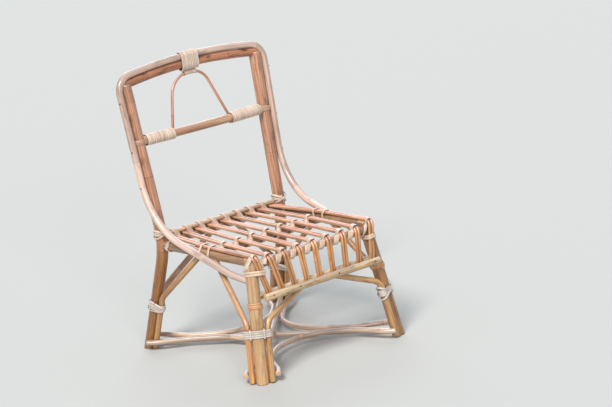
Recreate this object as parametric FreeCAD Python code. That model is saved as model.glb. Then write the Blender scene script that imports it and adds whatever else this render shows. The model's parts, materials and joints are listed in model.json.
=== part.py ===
"""Low rattan chair: bent poles, a seat of paired rods, and joints bound with split cane.

Millimetres. Seen from the front, X runs to the right, Y to the back and Z up.
Everything is laid out with Y = 0 at the front seat rail and Z = 0 at the floor, and is moved
at the end so that the origin is the middle of the footprint.
"""
import FreeCAD, Part
import math
import os

V = FreeCAD.Vector
SIDES = {"left": -1, "right": 1}

# Turn, in radians, below which a route runs straight through a point
STRAIGHT = 1e-6

# Half size of the cutting shapes, larger than the chair
BEYOND = 2000.0

# Clearance left between two pieces that are nailed or bound together
SEAT = 0.3

# Pole diameters
POST_DIA = 29.0
LEG_DIA = 31.0
SIDE_RAIL_DIA = 23.0
FRONT_RAIL_DIA = 20.0
MIDDLE_RAIL_DIA = 18.0
REAR_RAIL_DIA = 15.0
APRON_DIA = 17.0
HOOP_DIA = 17.0
TOP_RAIL_DIA = 22.0
CROSSBAR_DIA = 21.0
ARCH_DIA = 7.0
SLAT_DIA = 7.5
BRACE_DIA = 14.5
STRETCHER_DIA = 13.0
COVER_ROD_DIA = 11.0

# Share of a bowed rail's length that is curved, the rest being its straight ends
CURVED_SHARE = 0.8

# Split cane, and the gap between turns that lie side by side
CANE = 2.8
BINDING_CANE = 3.6
WIND_GAP = 0.7
GAP_STEP = 1.5
BELT_STEPS = 720
LASHING_LEAD = 4.0
LASHING_EASE = 0.6

# Slopes of a lashing: its climb beside a rod, its run over the rods and its return under the rail
LASHING_CLIMB = 0.45
LASHING_CROSS = 0.3
LASHING_RETURN = 0.35

# Room that a cane or its bundle needs where the poles bow
BOW_EASE = 0.3

# Seat
SEAT_TOP = 284.0
SEAT_DEPTH = 346.0
MIDDLE_RAIL_Y = 170.0
SLAT_PAIRS = 9
SLAT_FRONT_HALF = 172.0
SLAT_MIDDLE_HALF = 169.0
SLAT_REAR_OVERHANG = 5.0
SLAT_BOW = 1100.0
SLAT_POST_GAP = 4.0
PAIR_GAP = 0.8
SIDE_RISE = 8.0

# Feet, half of their spread from side to side
FOOT_HALF = 204.0

# Front legs, straight and splayed
LEG_HALF = 169.7
LEG_Y = 6.5
LEG_FOOT_Y = -31.3

# Rear posts, bent at the seat
POST_HALF = 176.3
POST_SETBACK = 1.0
POST_FOOT_RAKE = 80.6
POST_TOP_HALF = 192.0
POST_TOP_RAKE = 53.0
POST_BEND = 220.0

# Back
BACK_TOP = 654.0
TOP_RAIL_RISE = 15.5
TOP_RAIL_OVERHANG = 8.0
CROSSBAR_Z = 517.0
CROSSBAR_BOW = 9.0
HOOP_FORWARD_ANGLE = 12.0
HOOP_KNEE_Z = 315.0
HOOP_KNEE_BEND = 160.0
HOOP_CORNER_BEND = 42.0
HOOP_CROSSING_Y = 149.0
HOOP_TURN_IN_Y = 58.0
HOOP_TURN_IN_BEND = 70.0
ARCH_LEFT_CORNER = 58.0
ARCH_RIGHT_CORNER = 31.0
ARCH_LEFT_BEND = 62.0
ARCH_RIGHT_BEND = 44.0

# Apron under the front rail
APRON_Z = 195.0
APRON_Y = -33.6
APRON_FRONT_HALF = 168.6
STRUT_LEFT_HALF = 147.0
STRUT_RIGHT_HALF = 157.0
STRUT_TAIL = 3.0

# Braces and stretchers
BINDING_Z = 112.0
BINDING_HALF = 11.0
BRACE_BEND = 34.0
BRACE_FLOOR_GAP = 3.0
FRONT_BRACE_MEET = 24.0
REAR_BRACE_MEET = 29.5
REAR_BRACE_SHIFT = 4.5
SIDE_BRACE_FRONT_Y = 150.0
SIDE_BRACE_REAR_Y = 191.0
STRETCHER_Z = 14.0
STRETCHER_CURVE = 135.0
STRETCHER_SPREAD = 95.0
STRETCHER_PAST_LEG = 4.0
STRETCHER_AT_LEG = 20.0
STRETCHER_SWAY = 90.0
STRETCHER_EASE = 2.0

# Bindings: turns of cane and where they sit
LEG_TURNS = 4
BAND_TURNS = 2
APRON_BAND_TURNS = 3
CROSSBAR_LEFT_TURNS = 16
CROSSBAR_RIGHT_TURNS = 19
TOP_TURNS = 11
ARCH_TURNS = 4
LEG_BAND_Z = 247.8
LEG_BAND_EASE = 1.5
APRON_BAND_Z = 174.0
POST_BAND_RISE = 9.0
RAIL_BAND_SETBACK = 27.0
SIDE_TIE_STEP = 17.0
CROSSBAR_BINDING_GAP = 3.3
ARCH_BINDING_GAP = 1.0
TOP_BINDING_X = -6.0
LASHING_CLEAR = 1.0
FRONT_LASHING_CLEAR = 4.0
STRAP_DEPTH = 2.0
STRAP_WIDTH = 12.0
STRAP_OPENING = 14.0

# Places of the braces round each leg, in degrees from straight inwards, turning to the back
FRONT_SIDE_BRACE_ANGLE = 138.0
FRONT_CROSS_BRACE_ANGLE = -42.0
REAR_SIDE_BRACE_ANGLE = -90.0
REAR_CROSS_BRACE_ANGLE = 42.0

# Sizes that follow from the ones above
POST_Y = SEAT_DEPTH - POST_SETBACK
POST_FOOT_Y = POST_Y + POST_FOOT_RAKE
POST_TOP_Y = POST_Y + POST_TOP_RAKE
RAIL_BAND_Y = POST_Y - RAIL_BAND_SETBACK
POST_BAND_Z = SEAT_TOP + POST_BAND_RISE
COVER_ROD_Z = SEAT_TOP + SEAT + COVER_ROD_DIA / 2
SLAT_Z = SEAT_TOP - SLAT_DIA / 2
RAIL_TOP = SEAT_TOP - SLAT_DIA - SEAT
SIDE_RAIL_Z = RAIL_TOP - SIDE_RAIL_DIA / 2
FRONT_RAIL_Z = RAIL_TOP - FRONT_RAIL_DIA / 2
MIDDLE_RAIL_Z = RAIL_TOP - MIDDLE_RAIL_DIA / 2
REAR_RAIL_Z = RAIL_TOP - REAR_RAIL_DIA / 2
PAIR_STEP = (SLAT_DIA + PAIR_GAP) / 2
PAIR_HALF = PAIR_STEP + SLAT_DIA / 2
STRUT_Y = APRON_Y + APRON_DIA / 2 + SEAT + SLAT_DIA / 2
ARCH_DROP = BINDING_CANE + CANE + ARCH_DIA / 2 + 3 * SEAT + 2 * BOW_EASE
APRON_BACK_Y = STRUT_Y + SLAT_DIA / 2 + SEAT + APRON_DIA / 2
FRONT_RAIL_HALF = LEG_HALF - LEG_DIA / 4
STRETCHER_STEP = STRETCHER_DIA + SEAT
LASHING_TOP_LEAD = LASHING_LEAD / 3


def unit(vector):
    """Copy of a vector at length one."""
    return vector / vector.Length


def mirrored(point):
    """The point on the other side of the chair."""
    return V(-point.x, point.y, point.z)


def on_line(start, end, height):
    """Point at a height on the line through two points."""
    share = (height - start.z) / (end.z - start.z)
    return start + (end - start) * share


def route(points, bends):
    """Wire of straight runs through the points, with a tangent arc at each inner point."""
    edges = []
    start = points[0]
    for corner, before, after, bend in zip(points[1:-1], points, points[2:], bends):
        back = unit(before - corner)
        ahead = unit(after - corner)
        half_turn = (math.pi - back.getAngle(ahead)) / 2
        if half_turn < STRAIGHT:
            continue
        reach = bend * math.tan(half_turn)
        middle = corner + unit(back + ahead) * (bend / math.cos(half_turn) - bend)
        edges.append(Part.LineSegment(start, corner + back * reach).toShape())
        edges.append(Part.Arc(corner + back * reach, middle, corner + ahead * reach).toShape())
        start = corner + ahead * reach
    edges.append(Part.LineSegment(start, points[-1]).toShape())
    return Part.Wire(edges)


def tube(path, radius):
    """Round pole or cane along a wire."""
    first = path.OrderedEdges[0]
    start = first.valueAt(first.FirstParameter)
    ahead = first.tangentAt(first.FirstParameter)
    ring = Part.Wire(Part.makeCircle(radius, start, ahead))
    return path.makePipeShell([ring], True, False)


def coped(pole, *hosts):
    """A pole cut to seat against its hosts, without the stubs on their far side."""
    for host in hosts:
        pole = pole.cut(host)
    return max(pole.Solids, key=lambda solid: solid.Volume)


class Pole:
    """A centre line and a diameter, with the solid and the seat that it leaves in others."""

    def __init__(self, diameter, points, bends=()):
        self.radius = diameter / 2
        self.points = points
        self.path = route(points, bends)
        self.solid = tube(self.path, self.radius)
        first = points[0] + unit(points[0] - points[1]) * diameter
        last = points[-1] + unit(points[-1] - points[-2]) * diameter
        self.seat = tube(route([first, *points[1:-1], last], bends), self.radius + SEAT)


def above_floor(solid, height=0.0):
    """The part of a solid above a height."""
    block = Part.makeBox(2 * BEYOND, 2 * BEYOND, BEYOND, V(-BEYOND, -BEYOND, height))
    return solid.common(block).Solids[0]


def leg_axis(side, height):
    """Point on a front leg's axis."""
    top = V(side * LEG_HALF, LEG_Y, FRONT_RAIL_Z)
    foot = V(side * FOOT_HALF, LEG_FOOT_Y, 0)
    return on_line(foot, top, height)


def post_corner(side):
    """Corner of the lines of a rear post below and above the seat."""
    return V(side * POST_HALF, POST_Y, SIDE_RAIL_Z)


def lower_post_axis(side, height):
    """Point on a rear post's axis below its bend."""
    return on_line(V(side * FOOT_HALF, POST_FOOT_Y, 0), post_corner(side), height)


def upper_post_axis(side, height):
    """Point on a rear post's axis above its bend."""
    return on_line(post_corner(side), V(side * POST_TOP_HALF, POST_TOP_Y, BACK_TOP), height)


# Each foot: its axis, side and diameter, and the places of the braces round it
FEET = {
    "front_left": (leg_axis, -1, LEG_DIA, (FRONT_SIDE_BRACE_ANGLE, FRONT_CROSS_BRACE_ANGLE)),
    "front_right": (leg_axis, 1, LEG_DIA, (FRONT_SIDE_BRACE_ANGLE, FRONT_CROSS_BRACE_ANGLE)),
    "rear_left": (lower_post_axis, -1, POST_DIA, (REAR_SIDE_BRACE_ANGLE, REAR_CROSS_BRACE_ANGLE)),
    "rear_right": (lower_post_axis, 1, POST_DIA, (REAR_SIDE_BRACE_ANGLE, REAR_CROSS_BRACE_ANGLE)),
}


def front_leg(side):
    """Straight pole that runs past the floor and the seat, to be cut there."""
    return Pole(LEG_DIA, [leg_axis(side, -LEG_DIA), leg_axis(side, SEAT_TOP + LEG_DIA)])


def rear_post(side):
    """One pole from the floor to the top rail, bent at the seat."""
    foot = lower_post_axis(side, -POST_DIA)
    return Pole(POST_DIA, [foot, post_corner(side), upper_post_axis(side, BACK_TOP)], [POST_BEND])


def side_rail(side):
    """Straight rail from a front leg to a rear post, higher at the front."""
    return Pole(SIDE_RAIL_DIA, [leg_axis(side, SIDE_RAIL_Z + SIDE_RISE), post_corner(side)])


def side_rail_at(side, y):
    """Point on a side rail's axis."""
    front = leg_axis(side, SIDE_RAIL_Z + SIDE_RISE)
    back = post_corner(side)
    return front + (back - front) * ((y - front.y) / (back.y - front.y))


def cross_rail(diameter, half, y, height):
    """Straight rail from side to side."""
    return Pole(diameter, [V(-half, y, height), V(half, y, height)])


def bowed(end, bow):
    """Corner and bend of a rail from an end to its mirror image that bows out in its middle."""
    reach = bow / (1 - CURVED_SHARE / 2)
    bend = CURVED_SHARE * end.x * end.x / reach.Length
    return V(0, end.y, end.z) + reach, bend


def top_rail_line():
    """Left end, corner and bend of the top rail."""
    end = V(-POST_TOP_HALF - TOP_RAIL_OVERHANG, POST_TOP_Y, BACK_TOP)
    return end, *bowed(end, V(0, 0, TOP_RAIL_RISE))


def top_rail():
    """Arched rail on the posts' tops."""
    end, crown, bend = top_rail_line()
    return Pole(TOP_RAIL_DIA, [end, crown, mirrored(end)], [bend])


def crossbar():
    """Lower back rail, bowed a little to the front."""
    end = upper_post_axis(-1, CROSSBAR_Z)
    crown, bend = bowed(end, V(0, -CROSSBAR_BOW, 0))
    return Pole(CROSSBAR_DIA, [end, crown, mirrored(end)], [bend])


def hoop_beside_post(side, height):
    """Point on the hoop's run up the outer side of a post."""
    rise = unit(upper_post_axis(side, BACK_TOP) - post_corner(side))
    out = unit(V(side, 0, 0) - rise * (side * rise.x))
    front = unit(V(0, -1, 0) + rise * rise.y)
    angle = math.radians(HOOP_FORWARD_ANGLE)
    gap = POST_DIA / 2 + SEAT + HOOP_DIA / 2
    offset = out * (gap * math.cos(angle)) + front * (gap * math.sin(angle))
    return on_line(post_corner(side) + offset, upper_post_axis(side, BACK_TOP) + offset, height)


def back_hoop():
    """One pole from a front leg, past the seat, over the back and down to the other front leg."""
    rail_end, rail_crown, rail_bend = top_rail_line()
    forward = POST_DIA / 2 + SEAT + HOOP_DIA / 2
    forward *= math.sin(math.radians(HOOP_FORWARD_ANGLE))
    stack = TOP_RAIL_DIA / 2 + SEAT + HOOP_DIA / 2
    lift = math.sqrt(stack * stack - forward * forward)
    slope = (rail_crown.z - rail_end.z) / -rail_end.x
    crown = rail_crown + V(0, 0, lift * math.hypot(1, slope))
    low = hoop_beside_post(-1, 0)
    lean = (hoop_beside_post(-1, BACK_TOP).x - low.x) / BACK_TOP
    corner = hoop_beside_post(-1, (crown.z + slope * low.x) / (1 - slope * lean))
    crown.y = corner.y
    knee = hoop_beside_post(-1, HOOP_KNEE_Z)
    crossing = side_rail_at(-1, HOOP_CROSSING_Y)
    crossing.x -= SIDE_RAIL_DIA / 2 + CANE + HOOP_DIA / 2 + 2 * SEAT
    crossing.z = SIDE_RAIL_Z
    turn = knee + (crossing - knee) * ((HOOP_TURN_IN_Y - knee.y) / (crossing.y - knee.y))
    fall = (knee.z - turn.z) / (knee.y - turn.y)
    leg = leg_axis(-1, turn.z)
    end = leg_axis(-1, turn.z - fall * (turn.y - leg.y))
    left = [end, turn, knee, corner]
    bends = [HOOP_TURN_IN_BEND, HOOP_KNEE_BEND, HOOP_CORNER_BEND]
    points = left + [crown] + [mirrored(point) for point in reversed(left)]
    return Pole(HOOP_DIA, points, bends + [rail_bend + lift] + bends[::-1])


def crossbar_binding_span(side):
    """Inner and outer end of a crossbar binding, and its turns."""
    turns = CROSSBAR_LEFT_TURNS if side < 0 else CROSSBAR_RIGHT_TURNS
    outer = upper_post_axis(1, CROSSBAR_Z).x - POST_DIA / 2 - CROSSBAR_BINDING_GAP
    return outer - turns * (BINDING_CANE + WIND_GAP), outer, turns


def back_arch(bar):
    """Thin rod bent to an inverted U that stands on the crossbar and hangs from the top rail."""
    feet = []
    for side in SIDES.values():
        inner, _, _ = crossbar_binding_span(side)
        foot, _ = path_at(bar.path, 0, side * (inner - ARCH_BINDING_GAP - ARCH_DIA))
        feet.append(foot)
    top_z = BACK_TOP + TOP_RAIL_RISE - TOP_RAIL_DIA / 2 - ARCH_DROP
    left = V(-ARCH_LEFT_CORNER, POST_TOP_Y, top_z)
    right = V(ARCH_RIGHT_CORNER, POST_TOP_Y, top_z)
    return Pole(ARCH_DIA, [feet[0], left, right, feet[1]], [ARCH_LEFT_BEND, ARCH_RIGHT_BEND])


def slat_line(share):
    """Centre line of a seat rod: over the rear, middle and front rails, then down to the apron.

    The share runs from -1 at the left edge of the seat to 1 at the right edge. The rods at the
    edges rise with the side rails that they lie on.
    """
    rear_half = POST_HALF - POST_DIA / 2 - PAIR_HALF - SLAT_POST_GAP
    wrap = FRONT_RAIL_DIA / 2 + SEAT + SLAT_DIA / 2
    toe = V(0, STRUT_Y, APRON_Z)
    lean = math.atan2(-STRUT_Y, FRONT_RAIL_Z - APRON_Z)
    lean -= math.asin(wrap / math.hypot(STRUT_Y, FRONT_RAIL_Z - APRON_Z))
    bend_y = toe.y + (SLAT_Z - toe.z) * math.tan(lean)
    rear = V(share * rear_half, SEAT_DEPTH + SLAT_REAR_OVERHANG, SLAT_Z)
    middle = V(share * SLAT_MIDDLE_HALF, MIDDLE_RAIL_Y, SLAT_Z)
    front = V(share * SLAT_FRONT_HALF, bend_y, SLAT_Z)
    if abs(share) == 1:
        middle.z += side_rail_at(1, middle.y).z - SIDE_RAIL_Z + SEAT
        front.z += SIDE_RISE + SEAT
    toe.x = share * (STRUT_LEFT_HALF if share < 0 else STRUT_RIGHT_HALF)
    end = toe + unit(toe - front) * STRUT_TAIL
    return [rear, middle, front, end], [SLAT_BOW, wrap]


def slat_pair(index):
    """Two rods side by side."""
    points, bends = slat_line(slat_share(index))
    rods = []
    for step in (-PAIR_STEP, PAIR_STEP):
        line = [point + V(step, 0, 0) for point in points]
        rods.append(Pole(SLAT_DIA, line, bends))
    return rods


def rear_cover_rod(post):
    """Rod on the rear ends of the seat rods, from one post binding to the other."""
    place, _ = path_at(post.path, 2, COVER_ROD_Z)
    half = place.x - post.radius - BINDING_CANE - 3 * SEAT
    return cross_rail(COVER_ROD_DIA, half, SEAT_DEPTH, COVER_ROD_Z)


def beside_leg(axis, side, angle, radius):
    """Axis of a rod that runs along a leg, at an angle round it."""
    turn = math.radians(angle)
    rise = unit(axis(side, 1) - axis(side, 0))
    out = V(-side * math.cos(turn), math.sin(turn), 0)
    step = out * ((radius + SEAT + BRACE_DIA / 2) / out.cross(rise).Length)
    return lambda height: axis(side, height) + step


def brace(axis, side, angle, radius, end):
    """Rod up a leg from the floor, bent away above the binding to the rail that it props."""
    line = beside_leg(axis, side, angle, radius)
    foot = line(BRACE_FLOOR_GAP)
    low = line(BINDING_Z)
    turn = unit(low - foot).getAngle(unit(end - low))
    reach = BRACE_BEND * math.tan(turn / 2)
    corner = line(BINDING_Z + BINDING_HALF + reach)
    return Pole(BRACE_DIA, [line(-BRACE_DIA), corner, end], [BRACE_BEND])


def braces():
    """Two for each leg, under the side rails and under the apron or the rear rail."""
    found = {}
    for name, side in SIDES.items():
        rear_meet = side * REAR_BRACE_MEET + REAR_BRACE_SHIFT
        front_leg_meets = {
            "side": (FRONT_SIDE_BRACE_ANGLE, side_rail_at(side, SIDE_BRACE_FRONT_Y)),
            "cross": (FRONT_CROSS_BRACE_ANGLE, V(side * FRONT_BRACE_MEET, APRON_BACK_Y, APRON_Z)),
        }
        rear_post_meets = {
            "side": (REAR_SIDE_BRACE_ANGLE, side_rail_at(side, SIDE_BRACE_REAR_Y)),
            "cross": (REAR_CROSS_BRACE_ANGLE, V(rear_meet, SEAT_DEPTH, REAR_RAIL_Z)),
        }
        for kind, (angle, end) in front_leg_meets.items():
            found["front_%s_brace_%s" % (kind, name)] = brace(leg_axis, side, angle, LEG_DIA / 2, end)
        for kind, (angle, end) in rear_post_meets.items():
            made = brace(lower_post_axis, side, angle, POST_DIA / 2, end)
            found["rear_%s_brace_%s" % (kind, name)] = made
    return found


def foot_at(foot, height):
    """Point on the axis of a leg or post, by the name of its foot."""
    axis, side, _, _ = FEET[foot]
    return axis(side, height)


def diagonal(start, end, height):
    """Straight stretcher between opposite feet."""
    return Pole(STRETCHER_DIA, [foot_at(start, height), foot_at(end, height)])


def flank(foot, across, height):
    """How far out a rod has to pass a foot and its braces, along a level direction."""
    axis, side, diameter, angles = FEET[foot]
    reach = diameter / 2
    for angle in angles:
        offset = beside_leg(axis, side, angle, diameter / 2)(height) - axis(side, height)
        reach = max(reach, offset.dot(across) + BRACE_DIA / 2)
    return reach + 2 * SEAT + STRETCHER_DIA / 2


def curved_stretcher(start, end):
    """Rod from one foot to the next, drawn in towards the crossing of the diagonals."""
    height = STRETCHER_Z + STRETCHER_STEP / 2
    hub = (foot_at("front_left", height) + foot_at("rear_right", height)) / 2
    hub += (foot_at("front_right", height) + foot_at("rear_left", height)) / 2
    hub = hub / 2
    beside = math.sqrt(STRETCHER_STEP * STRETCHER_STEP * 3 / 4) + STRETCHER_EASE
    outer = unit(foot_at(start, height) + foot_at(end, height) - hub * 2)
    points = []
    arms = []
    for foot in (start, end):
        leg = foot_at(foot, height)
        arm = unit(leg - hub)
        across = unit(outer - arm * outer.dot(arm))
        arms.append((leg, arm, across, flank(foot, across, height)))
    spread = arms[0][1].getAngle(arms[1][1])
    corner = hub + outer * (beside / math.sin(spread / 2))
    for leg, arm, across, out in arms:
        tip = leg + arm * STRETCHER_PAST_LEG + across * out
        level = leg - arm * STRETCHER_AT_LEG + across * out
        joint = leg - arm * STRETCHER_SPREAD + across * beside
        points.append([tip, level, joint])
    line = points[0] + [corner] + points[1][::-1]
    gentle = [STRETCHER_SWAY, STRETCHER_SWAY]
    return Pole(STRETCHER_DIA, line, gentle + [STRETCHER_CURVE] + gentle)


def arc_edge(start, ahead, end):
    """Arc from a start and its direction to an end, or a line where they are in line."""
    chord = end - start
    turn = ahead.getAngle(chord)
    if turn < STRAIGHT:
        return Part.LineSegment(start, end).toShape()
    bulge = ahead - unit(chord) * ahead.dot(unit(chord))
    middle = (start + end) / 2 + unit(bulge) * (chord.Length / 2 * math.tan(turn / 2))
    return Part.Arc(start, middle, end).toShape()


def biarc(start, ahead, end, leaving):
    """Two arcs that join two points with given directions and meet smoothly."""
    chord = end - start
    if max(ahead.getAngle(chord), leaving.getAngle(chord)) < STRAIGHT:
        return [Part.LineSegment(start, end).toShape()]
    both = ahead + leaving
    spread = 2 * (1 - ahead.dot(leaving))
    pull = chord.dot(both)
    if spread < STRAIGHT:
        arm = chord.Length ** 2 / (4 * chord.dot(leaving))
    else:
        arm = (math.sqrt(pull * pull + spread * chord.Length ** 2) - pull) / spread
    joint = (start + ahead * arm + end - leaving * arm) / 2
    turned = arc_edge(end, leaving * -1, joint)
    return [arc_edge(start, ahead, joint), turned]


def smooth_path(stations):
    """Wire of biarcs through points that each have a direction."""
    edges = []
    for (start, ahead), (end, leaving) in zip(stations, stations[1:]):
        edges += biarc(start, unit(ahead), end, unit(leaving))
    return Part.Wire(Part.sortEdges(edges)[0])


def self_gap(name, path, diameter, apart):
    """Print the least gap of a wound cane to itself, measured on points along it."""
    points = path.discretize(Distance=GAP_STEP)
    skip = int(apart / GAP_STEP)
    least = min((a - b).Length for i, a in enumerate(points) for b in points[i + skip:])
    print("%s: least gap to itself %.2f" % (name, least - diameter))


def belt_stations(circles, clearance):
    """Points and directions of a belt round circles in a plane, in counterclockwise order."""
    grown = [(x, y, radius + clearance) for x, y, radius in circles]
    reach = []
    for step in range(BELT_STEPS):
        angle = 2 * math.pi * step / BELT_STEPS
        reach.append(max(range(len(grown)), key=lambda k: grown[k][0] * math.cos(angle)
                         + grown[k][1] * math.sin(angle) + grown[k][2]))
    runs = []
    for step, touched in enumerate(reach):
        if runs and runs[-1][0] == touched:
            runs[-1][2] = step + 1
        else:
            runs.append([touched, step, step + 1])
    if len(runs) > 1 and runs[0][0] == runs[-1][0]:
        first = runs.pop(0)
        runs[-1][2] += first[2]
    stations = []
    for touched, start, end in runs:
        quarters = max(1, math.ceil(4 * (end - start) / BELT_STEPS))
        x, y, radius = grown[touched]
        closed = len(runs) == 1
        for k in range(quarters + (0 if closed else 1)):
            angle = 2 * math.pi * (start + (end - start) * k / quarters) / BELT_STEPS
            stations.append((x + radius * math.cos(angle), y + radius * math.sin(angle), angle))
    return stations


def winding(name, centre, axis, bundle, turns, cane, pitch=None):
    """Cane wound round a bundle of poles: a rising belt, one unbroken tube.

    The bundle holds a point on each pole's centre line and the pole's radius. The turns lie side
    by side unless a pitch is given.
    """
    pitch = pitch or cane + WIND_GAP
    axis = unit(axis)
    across = unit(V(axis.z, axis.x, axis.y).cross(axis))
    upright = axis.cross(across)
    circles = [((p - centre).dot(across), (p - centre).dot(upright), radius) for p, radius in bundle]
    loop = belt_stations(circles, SEAT + cane / 2)
    lengths = [0.0]
    for here, there in zip(loop, loop[1:] + loop[:1]):
        lengths.append(lengths[-1] + math.hypot(there[0] - here[0], there[1] - here[1]))
    rise = pitch / lengths[-1]
    stations = []
    for step in range(turns * len(loop) + 1):
        x, y, angle = loop[step % len(loop)]
        along = lengths[step % len(loop)] + lengths[-1] * (step // len(loop))
        height = rise * along - pitch * turns / 2
        ahead = upright * math.cos(angle) - across * math.sin(angle) + axis * rise
        stations.append((centre + across * x + upright * y + axis * height, ahead))
    path = smooth_path(stations)
    self_gap(name, path, cane, lengths[-1] / 2)
    return tube(path, cane / 2)


def lashing(name, rail_y, rail_z, rail_dia, places, clear):
    """One cane along a rail: over each pair of rods, down behind the rail and forward under it."""
    out = rail_dia / 2 + SEAT + LASHING_EASE + CANE / 2
    round_rod = SLAT_DIA / 2 + SEAT + LASHING_EASE + CANE / 2
    rod_z = rail_z + rail_dia / 2 + SEAT + SLAT_DIA / 2
    top_z = rod_z + round_rod
    beside = PAIR_STEP + round_rod
    stations = []
    for index, x in enumerate(places):
        stations.append((V(x - beside - clear, rail_y - out, rail_z), V(0, 0, 1)))
        stations.append((V(x - beside, rail_y - LASHING_LEAD, rod_z), V(clear / out, LASHING_CLIMB, 1)))
        stations.append((V(x - PAIR_STEP, rail_y - LASHING_TOP_LEAD, top_z), V(1, LASHING_CROSS, 0)))
        stations.append((V(x + PAIR_STEP, rail_y + LASHING_TOP_LEAD, top_z), V(1, LASHING_CROSS, 0)))
        stations.append((V(x + beside, rail_y + LASHING_LEAD, rod_z), V(clear / out, LASHING_CLIMB, -1)))
        stations.append((V(x + beside + clear, rail_y + out, rail_z), V(0, 0, -1)))
        if index + 1 < len(places):
            middle = (x + places[index + 1]) / 2
            stations.append((V(middle, rail_y, rail_z - out), V(LASHING_RETURN, -1, 0)))
    path = smooth_path(stations)
    self_gap(name, path, CANE, 4 * beside)
    return tube(path, CANE / 2)


def path_at(path, axis, value):
    """First point and direction where a wire crosses a plane square to X, Y or Z."""
    normal = V(*[float(k == axis) for k in range(3)])
    sheet = Part.Face(Part.Wire(Part.makeCircle(BEYOND, normal * value, normal)))
    point = path.section(sheet).Vertexes[0].Point
    edge = min(path.Edges, key=lambda e: e.distToShape(Part.Vertex(point))[0])
    return point, edge.tangentAt(edge.Curve.parameter(point))


def slat_share(index):
    """Place of a pair across the seat, from -1 at the left to 1 at the right."""
    return 2 * index / (SLAT_PAIRS - 1) - 1


def leg_bindings():
    """One round each leg and the two braces beside it."""
    solids = []
    for foot, (axis, side, diameter, angles) in FEET.items():
        centre = axis(side, BINDING_Z)
        bundle = [(centre, diameter / 2)]
        for angle in angles:
            rod = beside_leg(axis, side, angle, diameter / 2)
            bundle.append((rod(BINDING_Z), BRACE_DIA / 2))
        rise = axis(side, BINDING_Z + 1) - centre
        solids.append(winding(foot + " binding", centre, rise, bundle, LEG_TURNS, BINDING_CANE))
    return Part.makeCompound(solids)


def leg_top_bindings():
    """Round each front leg and the outer pair of rods that runs down before it."""
    solids = []
    for name, side in SIDES.items():
        centre = leg_axis(side, LEG_BAND_Z)
        bundle = [(centre, LEG_DIA / 2)]
        points, bends = slat_line(side)
        for step in (-PAIR_STEP, PAIR_STEP):
            strut = route(points, bends).translated(V(step, 0, 0))
            point, _ = path_at(strut, 2, LEG_BAND_Z)
            bundle.append((point, SLAT_DIA / 2 + LEG_BAND_EASE))
        rise = leg_axis(side, LEG_BAND_Z + 1) - centre
        solids.append(winding(name + " leg top binding", centre, rise, bundle, BAND_TURNS, CANE))
    return Part.makeCompound(solids)


def leg_apron_bindings():
    """Round each front leg under the apron."""
    solids = []
    for name, side in SIDES.items():
        centre = leg_axis(side, APRON_BAND_Z)
        rise = leg_axis(side, APRON_BAND_Z + 1) - centre
        bundle = [(centre, LEG_DIA / 2)]
        solids.append(winding(name + " apron binding", centre, rise, bundle, APRON_BAND_TURNS, BINDING_CANE))
    return Part.makeCompound(solids)


def post_bindings(poles):
    """Round each rear post above the seat, and round the side rail before it."""
    solids = []
    for name in SIDES:
        for kind, axis, place in (("post_", 2, POST_BAND_Z), ("side_rail_", 1, RAIL_BAND_Y)):
            pole = poles[kind + name]
            centre, ahead = path_at(pole.path, axis, place)
            bundle = [(centre, pole.radius)]
            solids.append(winding(name + " post binding", centre, ahead, bundle, BAND_TURNS, BINDING_CANE))
    return Part.makeCompound(solids)


def side_ties():
    """Outer pairs of rods tied down to the side rails, on both sides of the middle rail."""
    solids = []
    for name, side in SIDES.items():
        points, bends = slat_line(side)
        for y in (MIDDLE_RAIL_Y - SIDE_TIE_STEP, MIDDLE_RAIL_Y + SIDE_TIE_STEP):
            centre = side_rail_at(side, y)
            bundle = [(centre, SIDE_RAIL_DIA / 2)]
            for step in (-PAIR_STEP, PAIR_STEP):
                point, _ = path_at(route(points, bends), 1, y)
                bundle.append((point + V(step, 0, 0), SLAT_DIA / 2 + SEAT))
            ahead = post_corner(side) - centre
            solids.append(winding(name + " side tie", centre, ahead, bundle, BAND_TURNS, CANE))
    return Part.makeCompound(solids)


def seat_lashing(name, rail_y, rail_z, rail_dia, pairs, clear):
    """The lashing of the chosen pairs to a seat rail."""
    places = []
    for index in pairs:
        point, _ = path_at(route(*slat_line(slat_share(index))), 1, rail_y)
        places.append(point.x)
    return lashing(name, rail_y, rail_z, rail_dia, places, clear)


def rear_lashing():
    """One cane round the rear rail and the cover rod, with a turn between each two pairs of rods."""
    centre = V(0, SEAT_DEPTH, REAR_RAIL_Z)
    cover = V(0, SEAT_DEPTH, COVER_ROD_Z)
    bundle = [(centre, REAR_RAIL_DIA / 2), (cover, COVER_ROD_DIA / 2)]
    first, second = (slat_line(slat_share(index))[0][0] for index in range(2))
    step = second.x - first.x
    return winding("rear lashing", centre, V(1, 0, 0), bundle, SLAT_PAIRS - 1, CANE, step)


def crossbar_binding(name, side, bar):
    """Round the crossbar beside a post."""
    inner, outer, turns = crossbar_binding_span(side)
    centre, ahead = path_at(bar.path, 0, side * (inner + outer) / 2)
    return winding(name, centre, ahead, [(centre, bar.radius + BOW_EASE)], turns, BINDING_CANE)


def top_binding(rail, hoop):
    """Round the hoop and the top rail."""
    centre, ahead = path_at(rail.path, 0, TOP_BINDING_X)
    above, _ = path_at(hoop.path, 0, TOP_BINDING_X)
    bundle = [(centre, rail.radius + BOW_EASE), (above, hoop.radius + BOW_EASE)]
    return winding("top binding", centre, ahead, bundle, TOP_TURNS, BINDING_CANE)


def arch_binding(arch):
    """Round the crown of the arch, under the top binding."""
    centre, ahead = path_at(arch.path, 0, TOP_BINDING_X)
    return winding("arch binding", centre, ahead, [(centre, arch.radius + BOW_EASE)], ARCH_TURNS, CANE)


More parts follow.
